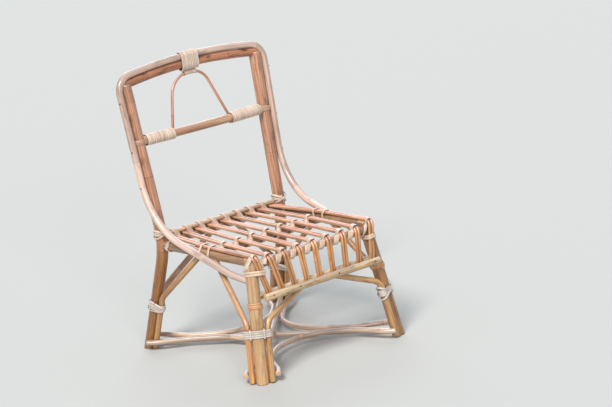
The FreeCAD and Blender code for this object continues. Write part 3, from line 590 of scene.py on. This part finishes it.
class Graph:
    """Small helper to wire a material's nodes."""

    def __init__(self, name):
        self.material = bpy.data.materials.new(name)
        self.material.use_nodes = True
        self.tree = self.material.node_tree
        self.shader = self.tree.nodes["Principled BSDF"]

    def node(self, kind, **settings):
        """A new node with its settings."""
        made = self.tree.nodes.new(kind)
        for title, value in settings.items():
            setattr(made, title, value)
        return made

    def link(self, source, target):
        """Lead an output to an input."""
        self.tree.links.new(source, target)

    def attribute(self, title):
        """A surface value of the mesh."""
        return self.node("ShaderNodeAttribute", attribute_name=title)

    def noise(self, vector, scale, detail, rough):
        """Noise with its own scale along each axis of a vector."""
        mapping = self.node("ShaderNodeMapping")
        mapping.inputs["Scale"].default_value = scale
        self.link(vector, mapping.inputs["Vector"])
        made = self.node("ShaderNodeTexNoise")
        made.inputs["Scale"].default_value = 1.0
        made.inputs["Detail"].default_value = detail
        made.inputs["Roughness"].default_value = rough
        self.link(mapping.outputs["Vector"], made.inputs["Vector"])
        return made.outputs["Fac"]

    def ramp(self, value, stops):
        """Colours or greys at places along a value."""
        made = self.node("ShaderNodeValToRGB")
        marks = made.color_ramp.elements
        while len(marks) < len(stops):
            marks.new(0.5)
        for mark, (place, colour) in zip(marks, stops):
            mark.position = place
            mark.color = (*colour, 1) if isinstance(colour, tuple) else (colour, colour, colour, 1)
        self.link(value, made.inputs["Fac"])
        return made.outputs["Color"]

    def set_inputs(self, sockets, values):
        """Give each socket a link, a colour or a number."""
        for socket, value in zip(sockets, values):
            if isinstance(value, bpy.types.NodeSocket):
                self.link(value, socket)
            elif isinstance(value, tuple):
                socket.default_value = (*value, 1)
            else:
                socket.default_value = value

    def mix(self, share, first, second, mode="MIX"):
        """Two colours mixed by a share."""
        made = self.node("ShaderNodeMix", data_type="RGBA", blend_type=mode)
        self.set_inputs([made.inputs[number] for number in MIX_INPUTS], (share, first, second))
        return made.outputs[MIX_RESULT]

    def maths(self, kind, first, second):
        """One sum of two numbers."""
        made = self.node("ShaderNodeMath", operation=kind)
        self.set_inputs(made.inputs, (first, second))
        return made.outputs[0]

    def blend(self, first, second, share):
        """A share of the first number and the rest of the second."""
        return self.maths("ADD", self.maths("MULTIPLY", first, share),
                          self.maths("MULTIPLY", second, 1 - share))

    def bump(self, height, strength, distance):
        """Fine relief of the surface."""
        made = self.node("ShaderNodeBump")
        made.inputs["Strength"].default_value = strength
        made.inputs["Distance"].default_value = distance
        self.link(height, made.inputs["Height"])
        self.link(made.outputs["Normal"], self.shader.inputs["Normal"])

    def surface(self, colour, rough):
        """Lead the colour and the roughness to the shader."""
        self.link(colour, self.shader.inputs["Base Color"])
        self.link(rough, self.shader.inputs["Roughness"])

    def coat(self, weight, rough):
        """Clear coat of the shader."""
        self.shader.inputs["Coat Weight"].default_value = weight
        self.shader.inputs["Coat Roughness"].default_value = rough


def scaled(colour, share):
    """A colour with each of its values times a share."""
    return tuple(value * share for value in colour)


def facing_light(graph):
    """How far a surface faces the painted light, from 0, below and behind, to 1, above and in front."""
    facing = graph.node("ShaderNodeVectorMath", operation="DOT_PRODUCT")
    graph.link(graph.node("ShaderNodeNewGeometry").outputs["Normal"], facing.inputs[0])
    facing.inputs[1].default_value = LIT_SIDE
    return graph.maths("ADD", graph.maths("MULTIPLY", facing.outputs["Value"], 0.5), 0.5)


def highlight_colours(dark, highlight_colour):
    """Colours of rattan under its painted highlight, from its dark fibres to its light ones."""
    between = tuple((one + two) / 2 for one, two in zip(dark, highlight_colour))
    return between, highlight_colour, tuple(min(1.0, value) for value in scaled(highlight_colour, HIGHLIGHT_LIFT))


def darker_foot(graph, colour, low, stain):
    """A colour tinted darker towards the floor, with a ragged edge: partly painted shade below the seat.
    """
    place = graph.node("ShaderNodeSeparateXYZ")
    graph.link(graph.node("ShaderNodeTexCoord").outputs["Object"], place.inputs["Vector"])
    height = graph.maths("ADD", place.outputs["Z"], graph.maths("MULTIPLY", stain, FOOT_RAGGED))
    return graph.mix(graph.ramp(height, FOOT_STOPS), colour, graph.mix(1.0, colour, low, "MULTIPLY"))


def rattan(name, dark, base, light, highlight_colour, mottle, gloss, low=None):
    """Peeled rattan: fibres, streaks, stains, dark lines at the nodes, a painted highlight on its top
    and front, painted shade underneath, and a darker foot that is partly painted shade.
    """
    graph = Graph(name)
    grain = graph.attribute("grain").outputs["Vector"]
    fibre = graph.noise(grain, *RATTAN_FIBRE)
    streak = graph.noise(grain, *RATTAN_STREAK)
    stain = graph.noise(grain, *RATTAN_STAIN)
    drift = graph.noise(grain, *RATTAN_DRIFT)
    mixed = graph.blend(streak, fibre, STREAK_SHARE)
    colour = graph.ramp(mixed, list(zip(RATTAN_STOPS, (dark, base, light))))
    # Painted highlight on the top and front, then painted shade on what faces away and below
    pale = graph.ramp(mixed, list(zip(RATTAN_STOPS, highlight_colours(dark, highlight_colour))))
    lit_share = facing_light(graph)
    colour = graph.mix(graph.ramp(lit_share, HIGHLIGHT_STOPS), colour, pale)
    colour = graph.mix(1.0, colour, graph.ramp(lit_share, PAINTED_SHADE_STOPS), "MULTIPLY")
    tone = graph.attribute("tone").outputs["Fac"]
    shade = graph.maths("ADD", drift, graph.maths("MULTIPLY", tone, TONE_SHARE))
    colour = graph.mix(SHADE_SHARE, colour, graph.ramp(shade, SHADE_STOPS), "MULTIPLY")
    # Darker foot, partly painted shade below the seat
    if low:
        colour = darker_foot(graph, colour, low, stain)
    spots = graph.ramp(stain, list(zip(SPOT_STOPS, (0.0, mottle))))
    colour = graph.mix(spots, colour, scaled(dark, SPOT_DARK))
    line = graph.ramp(graph.attribute("ridge").outputs["Fac"], NODE_STOPS)
    colour = graph.mix(line, colour, scaled(dark, NODE_DARK))
    roughs = [gloss + step for step in ROUGH_SPREAD]
    graph.surface(colour, graph.ramp(streak, list(zip(ROUGH_STOPS, roughs))))
    graph.coat(*RATTAN_COAT)
    graph.bump(mixed, *RATTAN_BUMP)
    return graph.material


def end_grain(name, base, pore):
    """Sawn end of a pole: pale pith with pores."""
    graph = Graph(name)
    cells = graph.node("ShaderNodeTexVoronoi")
    cells.inputs["Scale"].default_value = PORE_SCALE
    graph.link(graph.node("ShaderNodeTexCoord").outputs["Object"], cells.inputs["Vector"])
    dots = graph.ramp(cells.outputs["Distance"], PORE_STOPS)
    drift = graph.noise(graph.attribute("grain").outputs["Vector"], *PITH_DRIFT)
    colour = graph.ramp(drift, list(zip(PITH_STOPS, (scaled(base, PITH_DARK), base))))
    graph.surface(graph.mix(dots, colour, pore), graph.ramp(drift, SAWN_ROUGH))
    graph.bump(dots, *SAWN_BUMP)
    return graph.material


def split_cane(name, dark, base, light):
    """Split cane: shiny skin with fine lines along the strip, darker towards its edges."""
    graph = Graph(name)
    grain = graph.attribute("grain").outputs["Vector"]
    lines = graph.noise(grain, *CANE_LINES)
    streak = graph.noise(grain, *CANE_STREAK)
    stain = graph.noise(grain, *CANE_STAIN)
    mixed = graph.blend(streak, lines, CANE_STREAK_SHARE)
    colour = graph.ramp(mixed, list(zip(CANE_STOPS, (dark, base, light))))
    tone = graph.attribute("tone").outputs["Fac"]
    shade = graph.maths("ADD", stain, graph.maths("MULTIPLY", tone, CANE_TONE_SHARE))
    colour = graph.mix(CANE_SHADE_SHARE, colour, graph.ramp(shade, CANE_SHADE_STOPS), "MULTIPLY")
    place = graph.node("ShaderNodeSeparateXYZ")
    graph.link(grain, place.inputs["Vector"])
    edge = graph.ramp(graph.maths("MULTIPLY", place.outputs["Y"], EDGE_SCALE), EDGE_STOPS)
    colour = graph.mix(edge, colour, scaled(dark, EDGE_DARK))
    graph.surface(colour, graph.ramp(streak, CANE_ROUGH))
    graph.coat(*CANE_COAT)
    graph.bump(mixed, *CANE_BUMP)
    return graph.material


def iron(name, dark, base):
    """Dull iron of the nail heads, spotted with rust."""
    graph = Graph(name)
    rust = graph.noise(graph.node("ShaderNodeTexCoord").outputs["Object"], *RUST)
    colour = graph.ramp(rust, list(zip(RUST_STOPS, (dark, base))))
    graph.surface(colour, graph.ramp(rust, IRON_ROUGH))
    graph.shader.inputs["Metallic"].default_value = IRON_METAL
    graph.bump(rust, *IRON_BUMP)
    return graph.material


# Each rattan's dark, base, light and painted-highlight colour, mottle, gloss and, if it has one, tint of
# its foot, which is partly painted shade
RATTANS = {
    "brown_pole": ("brown_rattan", (0.15, 0.038, 0.012), (0.44, 0.148, 0.060),
        (0.60, 0.29, 0.16), (0.53, 0.26, 0.16), 0.95, 0.26),
    "post": ("post_rattan", (0.20, 0.070, 0.027), (0.45, 0.205, 0.112),
        (0.60, 0.36, 0.24), (0.58, 0.37, 0.28), 0.80, 0.28, (0.68, 0.53, 0.16)),
    "mid_pole": ("mid_rattan", (0.32, 0.135, 0.062), (0.54, 0.278, 0.145),
        (0.66, 0.42, 0.28), (0.60, 0.38, 0.27), 0.50, 0.27),
    "tan_pole": ("tan_rattan", (0.32, 0.150, 0.050), (0.55, 0.318, 0.146),
        (0.67, 0.47, 0.27), (0.64, 0.47, 0.31), 0.50, 0.30),
    "apron_pole": ("apron_rattan", (0.22, 0.105, 0.038), (0.62, 0.410, 0.205),
        (0.76, 0.58, 0.36), (0.71, 0.56, 0.42), 0.75, 0.28),
    "golden_pole": ("golden_rattan", (0.28, 0.110, 0.028), (0.51, 0.260, 0.088),
        (0.65, 0.41, 0.18), (0.63, 0.41, 0.22), 0.65, 0.27),
    # Amber of the right front leg: its own golden-brown, darkened as painted shade
    "amber_pole": ("amber_rattan", (0.17, 0.060, 0.016), (0.36, 0.165, 0.050),
        (0.50, 0.27, 0.110), (0.47, 0.27, 0.125), 0.60, 0.27),
    "orange_pole": ("orange_rattan", (0.32, 0.105, 0.030), (0.57, 0.258, 0.085),
        (0.70, 0.40, 0.18), (0.62, 0.40, 0.25), 0.55, 0.25),
    "pale_pole": ("pale_rattan", (0.42, 0.215, 0.120), (0.68, 0.468, 0.372),
        (0.79, 0.62, 0.53), (0.63, 0.48, 0.42), 0.45, 0.25),
    "low_pole": ("stretcher_rattan", (0.40, 0.220, 0.130), (0.63, 0.425, 0.305),
        (0.75, 0.58, 0.46), (0.62, 0.485, 0.40), 0.55, 0.30),
    "seat_rail": ("rail_rattan", (0.19, 0.085, 0.034), (0.36, 0.190, 0.095),
        (0.52, 0.32, 0.19), (0.42, 0.25, 0.16), 0.50, 0.30),
    "cover_rod": ("cover_rattan", (0.36, 0.190, 0.100), (0.60, 0.375, 0.230),
        (0.72, 0.52, 0.37), (0.66, 0.47, 0.36), 0.45, 0.28),
    "thin_rod": ("rod_rattan", (0.32, 0.105, 0.028), (0.57, 0.260, 0.092),
        (0.70, 0.41, 0.21), (0.77, 0.41, 0.345), 0.50, 0.24),
    "red_rod": ("arch_rattan", (0.30, 0.090, 0.045), (0.52, 0.218, 0.126),
        (0.66, 0.38, 0.28), (0.60, 0.365, 0.30), 0.45, 0.25),
}
# Each split cane's dark, base and light colour
SPLIT_CANES = {
    "cane": ("cream_cane", (0.36, 0.20, 0.11), (0.67, 0.51, 0.40), (0.78, 0.66, 0.57)),
    "grey_cane": ("grey_cane", (0.32, 0.21, 0.13), (0.59, 0.50, 0.44), (0.69, 0.62, 0.57)),
    "seat_cane": ("tan_cane", (0.33, 0.18, 0.09), (0.69, 0.49, 0.355), (0.79, 0.63, 0.51)),
    "red_cane": ("red_cane", (0.33, 0.12, 0.04), (0.60, 0.29, 0.13), (0.72, 0.44, 0.25)),
    "strap": ("strap_rattan", (0.24, 0.10, 0.05), (0.50, 0.29, 0.18), (0.62, 0.42, 0.30)),
}
MATERIALS = {slot: rattan(*values) for slot, values in RATTANS.items()}
MATERIALS.update({slot: split_cane(*values) for slot, values in SPLIT_CANES.items()})
MATERIALS["nail"] = iron("nail_iron", (0.020, 0.016, 0.014), (0.09, 0.05, 0.03))
SAWN = end_grain("sawn_end", (0.62, 0.44, 0.26), (0.22, 0.11, 0.05))

# Poles whose finish differs from the rest of their slot
FINISHES = {
    "rear_post": "post",
    "front_leg_left": "tan_pole",
    # The right front leg's darker amber is partly painted shade
    "front_leg_right": "amber_pole",
    "apron": "apron_pole",
    "back_arch": "red_rod",
    "seat_rear_cover_rod": "cover_rod",
    "front_side_brace": "orange_pole",
    "rear_cross_brace": "mid_pole",
    "diagonal_stretcher": "low_pole",
    "curved_stretcher": "low_pole",
}
# Bindings whose cane isn't the cream one
CANE_FINISHES = {"leg_bindings": "grey_cane", "leg_apron_bindings": "red_cane"}
SEAT_CANES = ("front_lashing", "middle_lashing", "rear_lashing", "side_ties", "leg_top_bindings")
CANE_FINISHES.update(dict.fromkeys(SEAT_CANES, "seat_cane"))

slots = {row["node"]: row["material_slot"] for row in frame["record"]["subparts"]}


def finish_of(node):
    """Finish of a pole: its own, or that of its slot."""
    for start, finish in FINISHES.items():
        if node.startswith(start):
            return finish
    return slots[node]


def dress_poles():
    """Each pole, rod and rail as rattan along the centre line of its solid."""
    for number, node in enumerate(sorted(frame["nodes"])):
        radius = diameter_of(node) / 2
        if not radius:
            continue
        rng = random.Random(POLE_SEED + number)
        shape = Shape()
        low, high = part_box(node)
        for path in centre_lines(node, radius):
            foot = low[2] if node.startswith(LEVEL_FOOT) else None
            top = high[2] if node.startswith(LEVEL_TOP) else None
            add_pole(shape, path, radius, rng, foot, top)
        piece = shape.made(node + "_rattan", [MATERIALS[finish_of(node)], SAWN])
        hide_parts(node)


# Cane pieces: tube of the solid, strip width, strip thickness, depth pushed in, spread along its axis
CANES = {
    "front_lashing": (2.8, 15.0, 1.6, 0.4, 1.0),
    "middle_lashing": (2.8, 12.0, 1.6, 0.4, 1.0),
    "rear_lashing": (2.8, 13.0, 1.6, 0.4, 1.0),
    "side_ties": (2.8, 3.4, 1.8, 0.3, 1.0),
    "leg_bindings": (3.6, 4.3, 2.0, 0.6, 1.05),
    "leg_top_bindings": (2.8, 5.4, 1.7, 0.4, 1.6),
    "leg_apron_bindings": (3.6, 4.2, 1.8, 0.7, 1.0),
    "post_bindings": (3.6, 5.4, 2.0, 0.6, 1.3),
    "crossbar_binding_left": (3.6, 4.75, 2.8, 0.3, 1.125),
    "crossbar_binding_right": (3.6, 4.75, 2.8, 0.3, 1.125),
    "top_binding": (3.6, 4.4, 2.4, 0.5, 1.04),
    "arch_binding": (2.8, 5.0, 2.4, 0.0, 1.0),
}
# Lashings over the rod pairs, whose strips turn little to the side
RODS_TIED = ("front_lashing", "middle_lashing")
SIDEWAYS = 0.4

# The front lashing climbs the rail at a slant: sideways run on its way up
FRONT_SLANT = 8.0 * MM

# Wrap round the arch's crown: reach each way along the arch, turns and distance from the arch's axis
CROWN_REACH = 17.0 * MM
CROWN_TURNS = 7
CROWN_RADIUS = 5.0 * MM
CROWN_PARTS = 24

# The top binding's lower runs, as a share of its height, hang down onto the wrap of the arch's crown
TOP_HANG = 3.0 * MM
TOP_HANG_SHARE = 0.3

# Cross strips over the other bindings: turns of the binding, lean, and width, thickness and push in
CROSS_TURNS = {"leg_bindings": 4, "post_bindings": 2}
CROSS_LEAN = 0.55
CROSS_SIZES = (5.0, 1.4, -1.7)

# Short upright turns at the left front leg: half depth and height, width, and place from leg to brace
TURN_DEPTH = 2.6 * MM
TURN_HEIGHT = 11.5 * MM
TURN_WIDTH = 4.5 * MM
TURN_PARTS = 16
TURN_OUT = 20.0 * MM
TURN_SHARE = 0.8
TURN_BRACES = ("front_side_brace_left", "front_cross_brace_left")

# Straps: the crossbar's thinned ends, led round the posts and back under the bindings
STRAP_WIDTH = 13.0 * MM
STRAP_THICK = 2.0 * MM
STRAP_STAND = 0.8 * MM
STRAP_TAIL = (26.0 * MM, 9.5 * MM)
STRAP_SWEEP = math.radians(112)
STRAP_PARTS = 11

# Corner ties: a route from the top of a front leg, given as millimetres outward, back and up
CORNER_TIE = [(17.7, 4.8, -32.2), (19.7, -5.2, -22.2), (16.2, -10.7, -9.2), (13.3, -15.7, 0.8),
              (6.5, -15.5, 7.9), (0.0, -15.0, 7.9), (-4.6, -15.0, 2.5), (-9.0, -18.5, -7.0),
              (-13.0, -20.6, -17.0), (-17.0, -17.0, -27.5), (-21.0, -9.5, -29.3)]
CORNER_WIDTH = 9.0 * MM
CORNER_THICK = 1.5 * MM


def winding_axis(path):
    """Middle of a winding and the direction that it is wound round."""
    middle = path.mean(axis=0)
    arms = path - middle
    axis = np.cross(arms[:-1], arms[1:]).sum(axis=0)
    return middle, axis / np.linalg.norm(axis)


def spread(path, share, outer):
    """A winding drawn out along its axis, from its middle or from its end furthest to a side."""
    middle, axis = winding_axis(path)
    if outer:
        middle = path[np.argmax(np.abs(path[:, 0]))]
    return path + np.outer((path - middle) @ axis, axis) * (share - 1)


def leaning_turn(path, turns, lean):
    """The middle turn of a winding, closed and leant over along the winding's axis."""
    points, _ = resampled(path, CANE_STEP)
    middle, axis = winding_axis(points)
    count = int(len(points) / turns)
    first = (len(points) - count) // 2
    turn = points[first:first + count]
    turn = turn - np.outer((turn - middle) @ axis, axis)
    side = np.cross(axis, (0, 1, 0))
    return turn + np.outer((turn - middle) @ side * lean, axis)


def curve_through(points):
    """Smooth curve through a few points."""
    padded = np.vstack([2 * points[0] - points[1], points, 2 * points[-1] - points[-2]])
    share = np.linspace(0, 1, CURVE_PARTS, endpoint=False)[:, None]
    runs = []
    for before, here, there, after in zip(padded, padded[1:], padded[2:], padded[3:]):
        runs.append(0.5 * (2 * here + (there - before) * share
                           + (2 * before - 5 * here + 4 * there - after) * share ** 2
                           + (3 * here - before - 3 * there + after) * share ** 3))
    return np.vstack(runs + [points[-1:]])


def slanted(path):
    """The front lashing, its climbs leaning one way in front of the rail and the other behind it."""
    low, high = (np.array(corner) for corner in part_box("seat_front_rail"))
    middle = (low + high) / 2
    depth = np.clip((middle[1] - path[:, 1]) / (high[1] - middle[1]), -1, 1)
    fall = (path[:, 2].max() - path[:, 2]) / np.ptp(path[:, 2])
    moved = path.copy()
    moved[:, 0] -= FRONT_SLANT * depth * fall
    return moved


def crown_wrap(binding):
    """Helix round the arch's crown, about the middle of its binding."""
    points, marks = resampled(pole_line("back_arch"), CANE_STEP)
    middle = marks[np.argmin(np.linalg.norm(points - binding.mean(axis=0), axis=1))]
    places = np.linspace(middle - CROWN_REACH, middle + CROWN_REACH, CROWN_TURNS * CROWN_PARTS)
    _, side, other = turning_frame(points)
    turn = np.linspace(0, CROWN_TURNS * 2 * math.pi, len(places))
    rows = [np.column_stack([np.interp(places, marks, block[:, k]) for k in range(3)])
            for block in (points, side, other)]
    around = rows[1] * np.cos(turn)[:, None] + rows[2] * np.sin(turn)[:, None]
    return rows[0] + unit_rows(around) * CROWN_RADIUS


def hung(path):
    """The top binding with its lower runs let down onto the arch's wrap."""
    low = path[:, 2].min()
    share = np.clip(1 - (path[:, 2] - low) / (TOP_HANG_SHARE * np.ptp(path[:, 2])), 0, 1)
    moved = path.copy()
    moved[:, 2] -= TOP_HANG * share * share * (3 - 2 * share)
    return moved


def at_height(node, height):
    """Point on a pole's centre line at a height."""
    line = pole_line(node)
    line = line[np.argsort(line[:, 2])]
    return np.array([np.interp(height, line[:, 2], line[:, k]) for k in range(3)])


def upright_turns(path, leg, braces):
    """Closed short turns round a leg binding, one between the leg and each of its braces."""
    middle, axis = winding_axis(path)
    post = at_height(leg, middle[2])
    turns = []
    for brace in braces:
        between = post + (at_height(brace, middle[2]) - post) * TURN_SHARE
        out = np.cross(axis, post - between)
        out = unit_rows((out * np.sign(out @ (between - middle)))[None])[0]
        level = path - np.outer((path - middle) @ axis, axis)
        place = level[np.argmin(np.linalg.norm(level - between - out * TURN_OUT, axis=1))]
        angle = np.linspace(0, 2 * math.pi, TURN_PARTS + 1)[:, None]
        turns.append(place + out * TURN_DEPTH * np.cos(angle) + axis * TURN_HEIGHT * np.sin(angle))
    return turns


def cross_strips(shape, node, path, rng):
    """What is wound over a binding: crossing strips, or short upright turns at the left front leg."""
    if node not in CROSS_TURNS or abs(winding_axis(path)[1][2]) < UPRIGHT:
        return
    middle = path.mean(axis=0)
    if node == "leg_bindings" and middle[0] < 0 and middle[1] < 0:
        for turn in upright_turns(path, "front_leg_left", TURN_BRACES):
            add_strip(shape, curve_through(turn), TURN_WIDTH, CROSS_SIZES[1] * MM, 0.0, rng)
        return
    for lean in (-CROSS_LEAN, CROSS_LEAN):
        turn = leaning_turn(path, CROSS_TURNS[node], lean)
        add_strip(shape, turn, *(size * MM for size in CROSS_SIZES), rng)


def strip_path(node, path, share):
    """Route of a cane strip, from the centre line of its solid."""
    if node == "top_binding":
        return hung(spread(path, share, False))
    if node == "front_lashing":
        return slanted(path)
    if node == "arch_binding":
        return crown_wrap(path)
    return spread(path, share, node.startswith("crossbar"))


def dress_canes():
    """Each binding and lashing as flat split cane along its solid's tube."""
    for number, (node, sizes) in enumerate(CANES.items()):
        tube, width, thick, sink = (size * MM for size in sizes[:4])
        rng = random.Random(CANE_SEED + number)
        shape = Shape()
        for path in centre_lines(node, tube / 2):
            path = strip_path(node, path, sizes[4])
            add_strip(shape, path, width, thick, sink, rng, SIDEWAYS if node in RODS_TIED else 1.0)
            cross_strips(shape, node, path, rng)
        material = MATERIALS[CANE_FINISHES.get(node, "cane")]
        piece = shape.made(node + "_strips", [material, material])
        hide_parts(node)


def dress_corners():
    """Cane ties that hold the outer rods to the tops of the front legs."""
    rng = random.Random(CORNER_SEED)
    shape = Shape()
    for node, side in (("front_leg_left", -1), ("front_leg_right", 1)):
        top = max(pole_line(node).tolist(), key=lambda place: place[2])
        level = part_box(node)[1][2]
        route = np.array([(top[0] + side * out * MM, top[1] + back * MM, level + up * MM)
                          for out, back, up in CORNER_TIE])
        add_strip(shape, curve_through(route), CORNER_WIDTH, CORNER_THICK, 0.0, rng)
    piece = shape.made("corner_ties", [MATERIALS["cane"], MATERIALS["cane"]])


# Nails: places along the hoop from its ends and along the apron, directions out, and the head's size
HOOP_NAILS = (184 * MM, 418 * MM, 506 * MM, 622 * MM)
APRON_NAILS = (-150 * MM, -73 * MM, 41 * MM, 150 * MM)
HOOP_NAIL_OUT = (0.9, -0.45)
APRON_NAIL_OUT = (0.0, -0.9, 0.35)
NAIL_RADIUS = 1.9 * MM
NAIL_RISE = 0.9 * MM
NAIL_SIDES = 12
NAIL_ROWS = 4


def add_nail(shape, place, out):
    """Domed nail head set on a surface."""
    out = np.array(out) / np.linalg.norm(out)
    side = np.cross(out, (0, 0, 1))
    side = side / np.linalg.norm(side)
    other = np.cross(out, side)
    points = []
    for row in range(NAIL_ROWS):
        tilt = math.pi / 2 * row / NAIL_ROWS
        for turn in np.linspace(0, 2 * math.pi, NAIL_SIDES, endpoint=False):
            ring = side * math.cos(turn) + other * math.sin(turn)
            foot = place + ring * NAIL_RADIUS * math.cos(tilt)
            points.append(foot + out * NAIL_RISE * math.sin(tilt))
    points.append(place + out * NAIL_RISE)
    first = shape.add(np.array(points), np.array(points), 0.0, 0.0)
    shape.grid(first, NAIL_ROWS, NAIL_SIDES, True)
    last = first + (NAIL_ROWS - 1) * NAIL_SIDES
    shape.cap(list(range(last, last + NAIL_SIDES)), first + len(points) - 1, False)


def dress_nails():
    """Nail heads on the hoop and the front apron pole."""
    shape = Shape()
    points, marks = resampled(pole_line("back_hoop"), POLE_STEP)
    for length in HOOP_NAILS:
        for mark in (length, marks[-1] - length):
            place = points[np.argmin(np.abs(marks - mark))]
            out = np.array((math.copysign(HOOP_NAIL_OUT[0], place[0]), HOOP_NAIL_OUT[1], 0.0))
            add_nail(shape, place + out / np.linalg.norm(out) * diameter_of("back_hoop") / 2, out)
    low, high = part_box("apron_front_pole")
    radius = diameter_of("apron_front_pole") / 2
    out = np.array(APRON_NAIL_OUT)
    for across in APRON_NAILS:
        axis = np.array((across, (low[1] + high[1]) / 2, (low[2] + high[2]) / 2))
        add_nail(shape, axis + out / np.linalg.norm(out) * radius, out)
    shape.made("nail_heads", [MATERIALS["nail"], MATERIALS["nail"]])


def dress_straps():
    """The crossbar's thinned ends, each led round a post."""
    rng = random.Random(STRAP_SEED)
    shape = Shape()
    low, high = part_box("crossbar_straps")
    level = (low[2] + high[2]) / 2
    radius = diameter_of("rear_post") / 2 + STRAP_STAND
    for node, side in (("rear_post_left", -1), ("rear_post_right", 1)):
        post = at_height(node, level)
        route = [post + (-side * STRAP_TAIL[0], -STRAP_TAIL[1], 0)]
        for turn in np.linspace(-STRAP_SWEEP, STRAP_SWEEP, STRAP_PARTS):
            route.append(post + (side * radius * math.cos(turn), radius * math.sin(turn), 0))
        route.append(post + (-side * STRAP_TAIL[0], STRAP_TAIL[1], 0))
        add_strip(shape, curve_through(np.array(route)), STRAP_WIDTH, STRAP_THICK, 0.0, rng)
    piece = shape.made("crossbar_strap_ends", [MATERIALS["strap"], MATERIALS["strap"]])
    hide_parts("crossbar_straps")


dress_poles()
dress_canes()
dress_corners()
dress_nails()
dress_straps()

# Camera of the photograph: place, direction and lens
EYE = Vector((-2.8829, -4.0723, 1.6277))
AZIMUTH = math.radians(-36.63)
ELEVATION = math.radians(14.59)
ROLL = math.radians(-6.68)
FOCAL_PIXELS = 2176.0
PICTURE_WIDTH = 612
SENSOR = 36.0

# Light: each lamp's direction, spread in degrees, power and colour, and the even light from all round
SUNS = {
    "key": ((0.75, 0.45, -1.0), 20, 2.8, (1.0, 0.98, 0.95)),
    "sheen": ((-0.55, -0.8, -0.62), 50, 1.2, (0.82, 0.91, 1.0)),
    "front": ((0.35, 0.9, -0.38), 15, 0.9, (0.86, 0.93, 1.0)),
}
SKY_COLOUR = (0.93, 0.97, 1.0, 1)
SKY_STRENGTH = 0.42

# Floor
FLOOR_HALF = 60.0
FLOOR_COLOUR = (0.55, 0.55, 0.535, 1)
FLOOR_ROUGH = 0.9


def add_camera():
    """Camera at the photograph's viewing angle."""
    level = math.cos(ELEVATION)
    back = Vector((math.sin(AZIMUTH) * level, -math.cos(AZIMUTH) * level, math.sin(ELEVATION)))
    right = Vector((0, 0, 1)).cross(back).normalized()
    up = back.cross(right)
    turned = right * math.cos(ROLL) + up * math.sin(ROLL)
    up = up * math.cos(ROLL) - right * math.sin(ROLL)
    camera = bpy.data.objects.new("camera", bpy.data.cameras.new("camera"))
    camera.matrix_world = Matrix.Translation(EYE) @ Matrix((turned, up, back)).transposed().to_4x4()
    camera.data.sensor_width = SENSOR
    camera.data.lens = FOCAL_PIXELS * SENSOR / PICTURE_WIDTH
    bpy.context.scene.collection.objects.link(camera)
    bpy.context.scene.camera = camera


def add_sun(name, direction, spread_angle, power, colour):
    """Distant lamp, wide enough for soft shadows."""
    lamp = bpy.data.objects.new(name, bpy.data.lights.new(name, "SUN"))
    lamp.data.angle = math.radians(spread_angle)
    lamp.data.energy = power
    lamp.data.color = colour
    lamp.rotation_euler = Vector(direction).to_track_quat("-Z", "Y").to_euler()
    bpy.context.scene.collection.objects.link(lamp)


def add_floor():
    """Plain pale floor."""
    corners = [(x * FLOOR_HALF, y * FLOOR_HALF, 0) for x, y in ((-1, -1), (1, -1), (1, 1), (-1, 1))]
    mesh = bpy.data.meshes.new("floor")
    mesh.from_pydata(corners, [], [(0, 1, 2, 3)])
    floor = bpy.data.objects.new("floor", mesh)
    bpy.context.scene.collection.objects.link(floor)
    graph = Graph("floor_finish")
    graph.shader.inputs["Base Color"].default_value = FLOOR_COLOUR
    graph.shader.inputs["Roughness"].default_value = FLOOR_ROUGH
    mesh.materials.append(graph.material)


def add_world():
    """Even pale light from all round."""
    world = bpy.data.worlds.new("studio")
    world.use_nodes = True
    background = world.node_tree.nodes["Background"]
    background.inputs["Color"].default_value = SKY_COLOUR
    background.inputs["Strength"].default_value = SKY_STRENGTH
    bpy.context.scene.world = world


bpy.context.scene.view_settings.view_transform = "Standard"
add_camera()
add_floor()
add_world()
for sun, values in SUNS.items():
    add_sun(sun, *values)
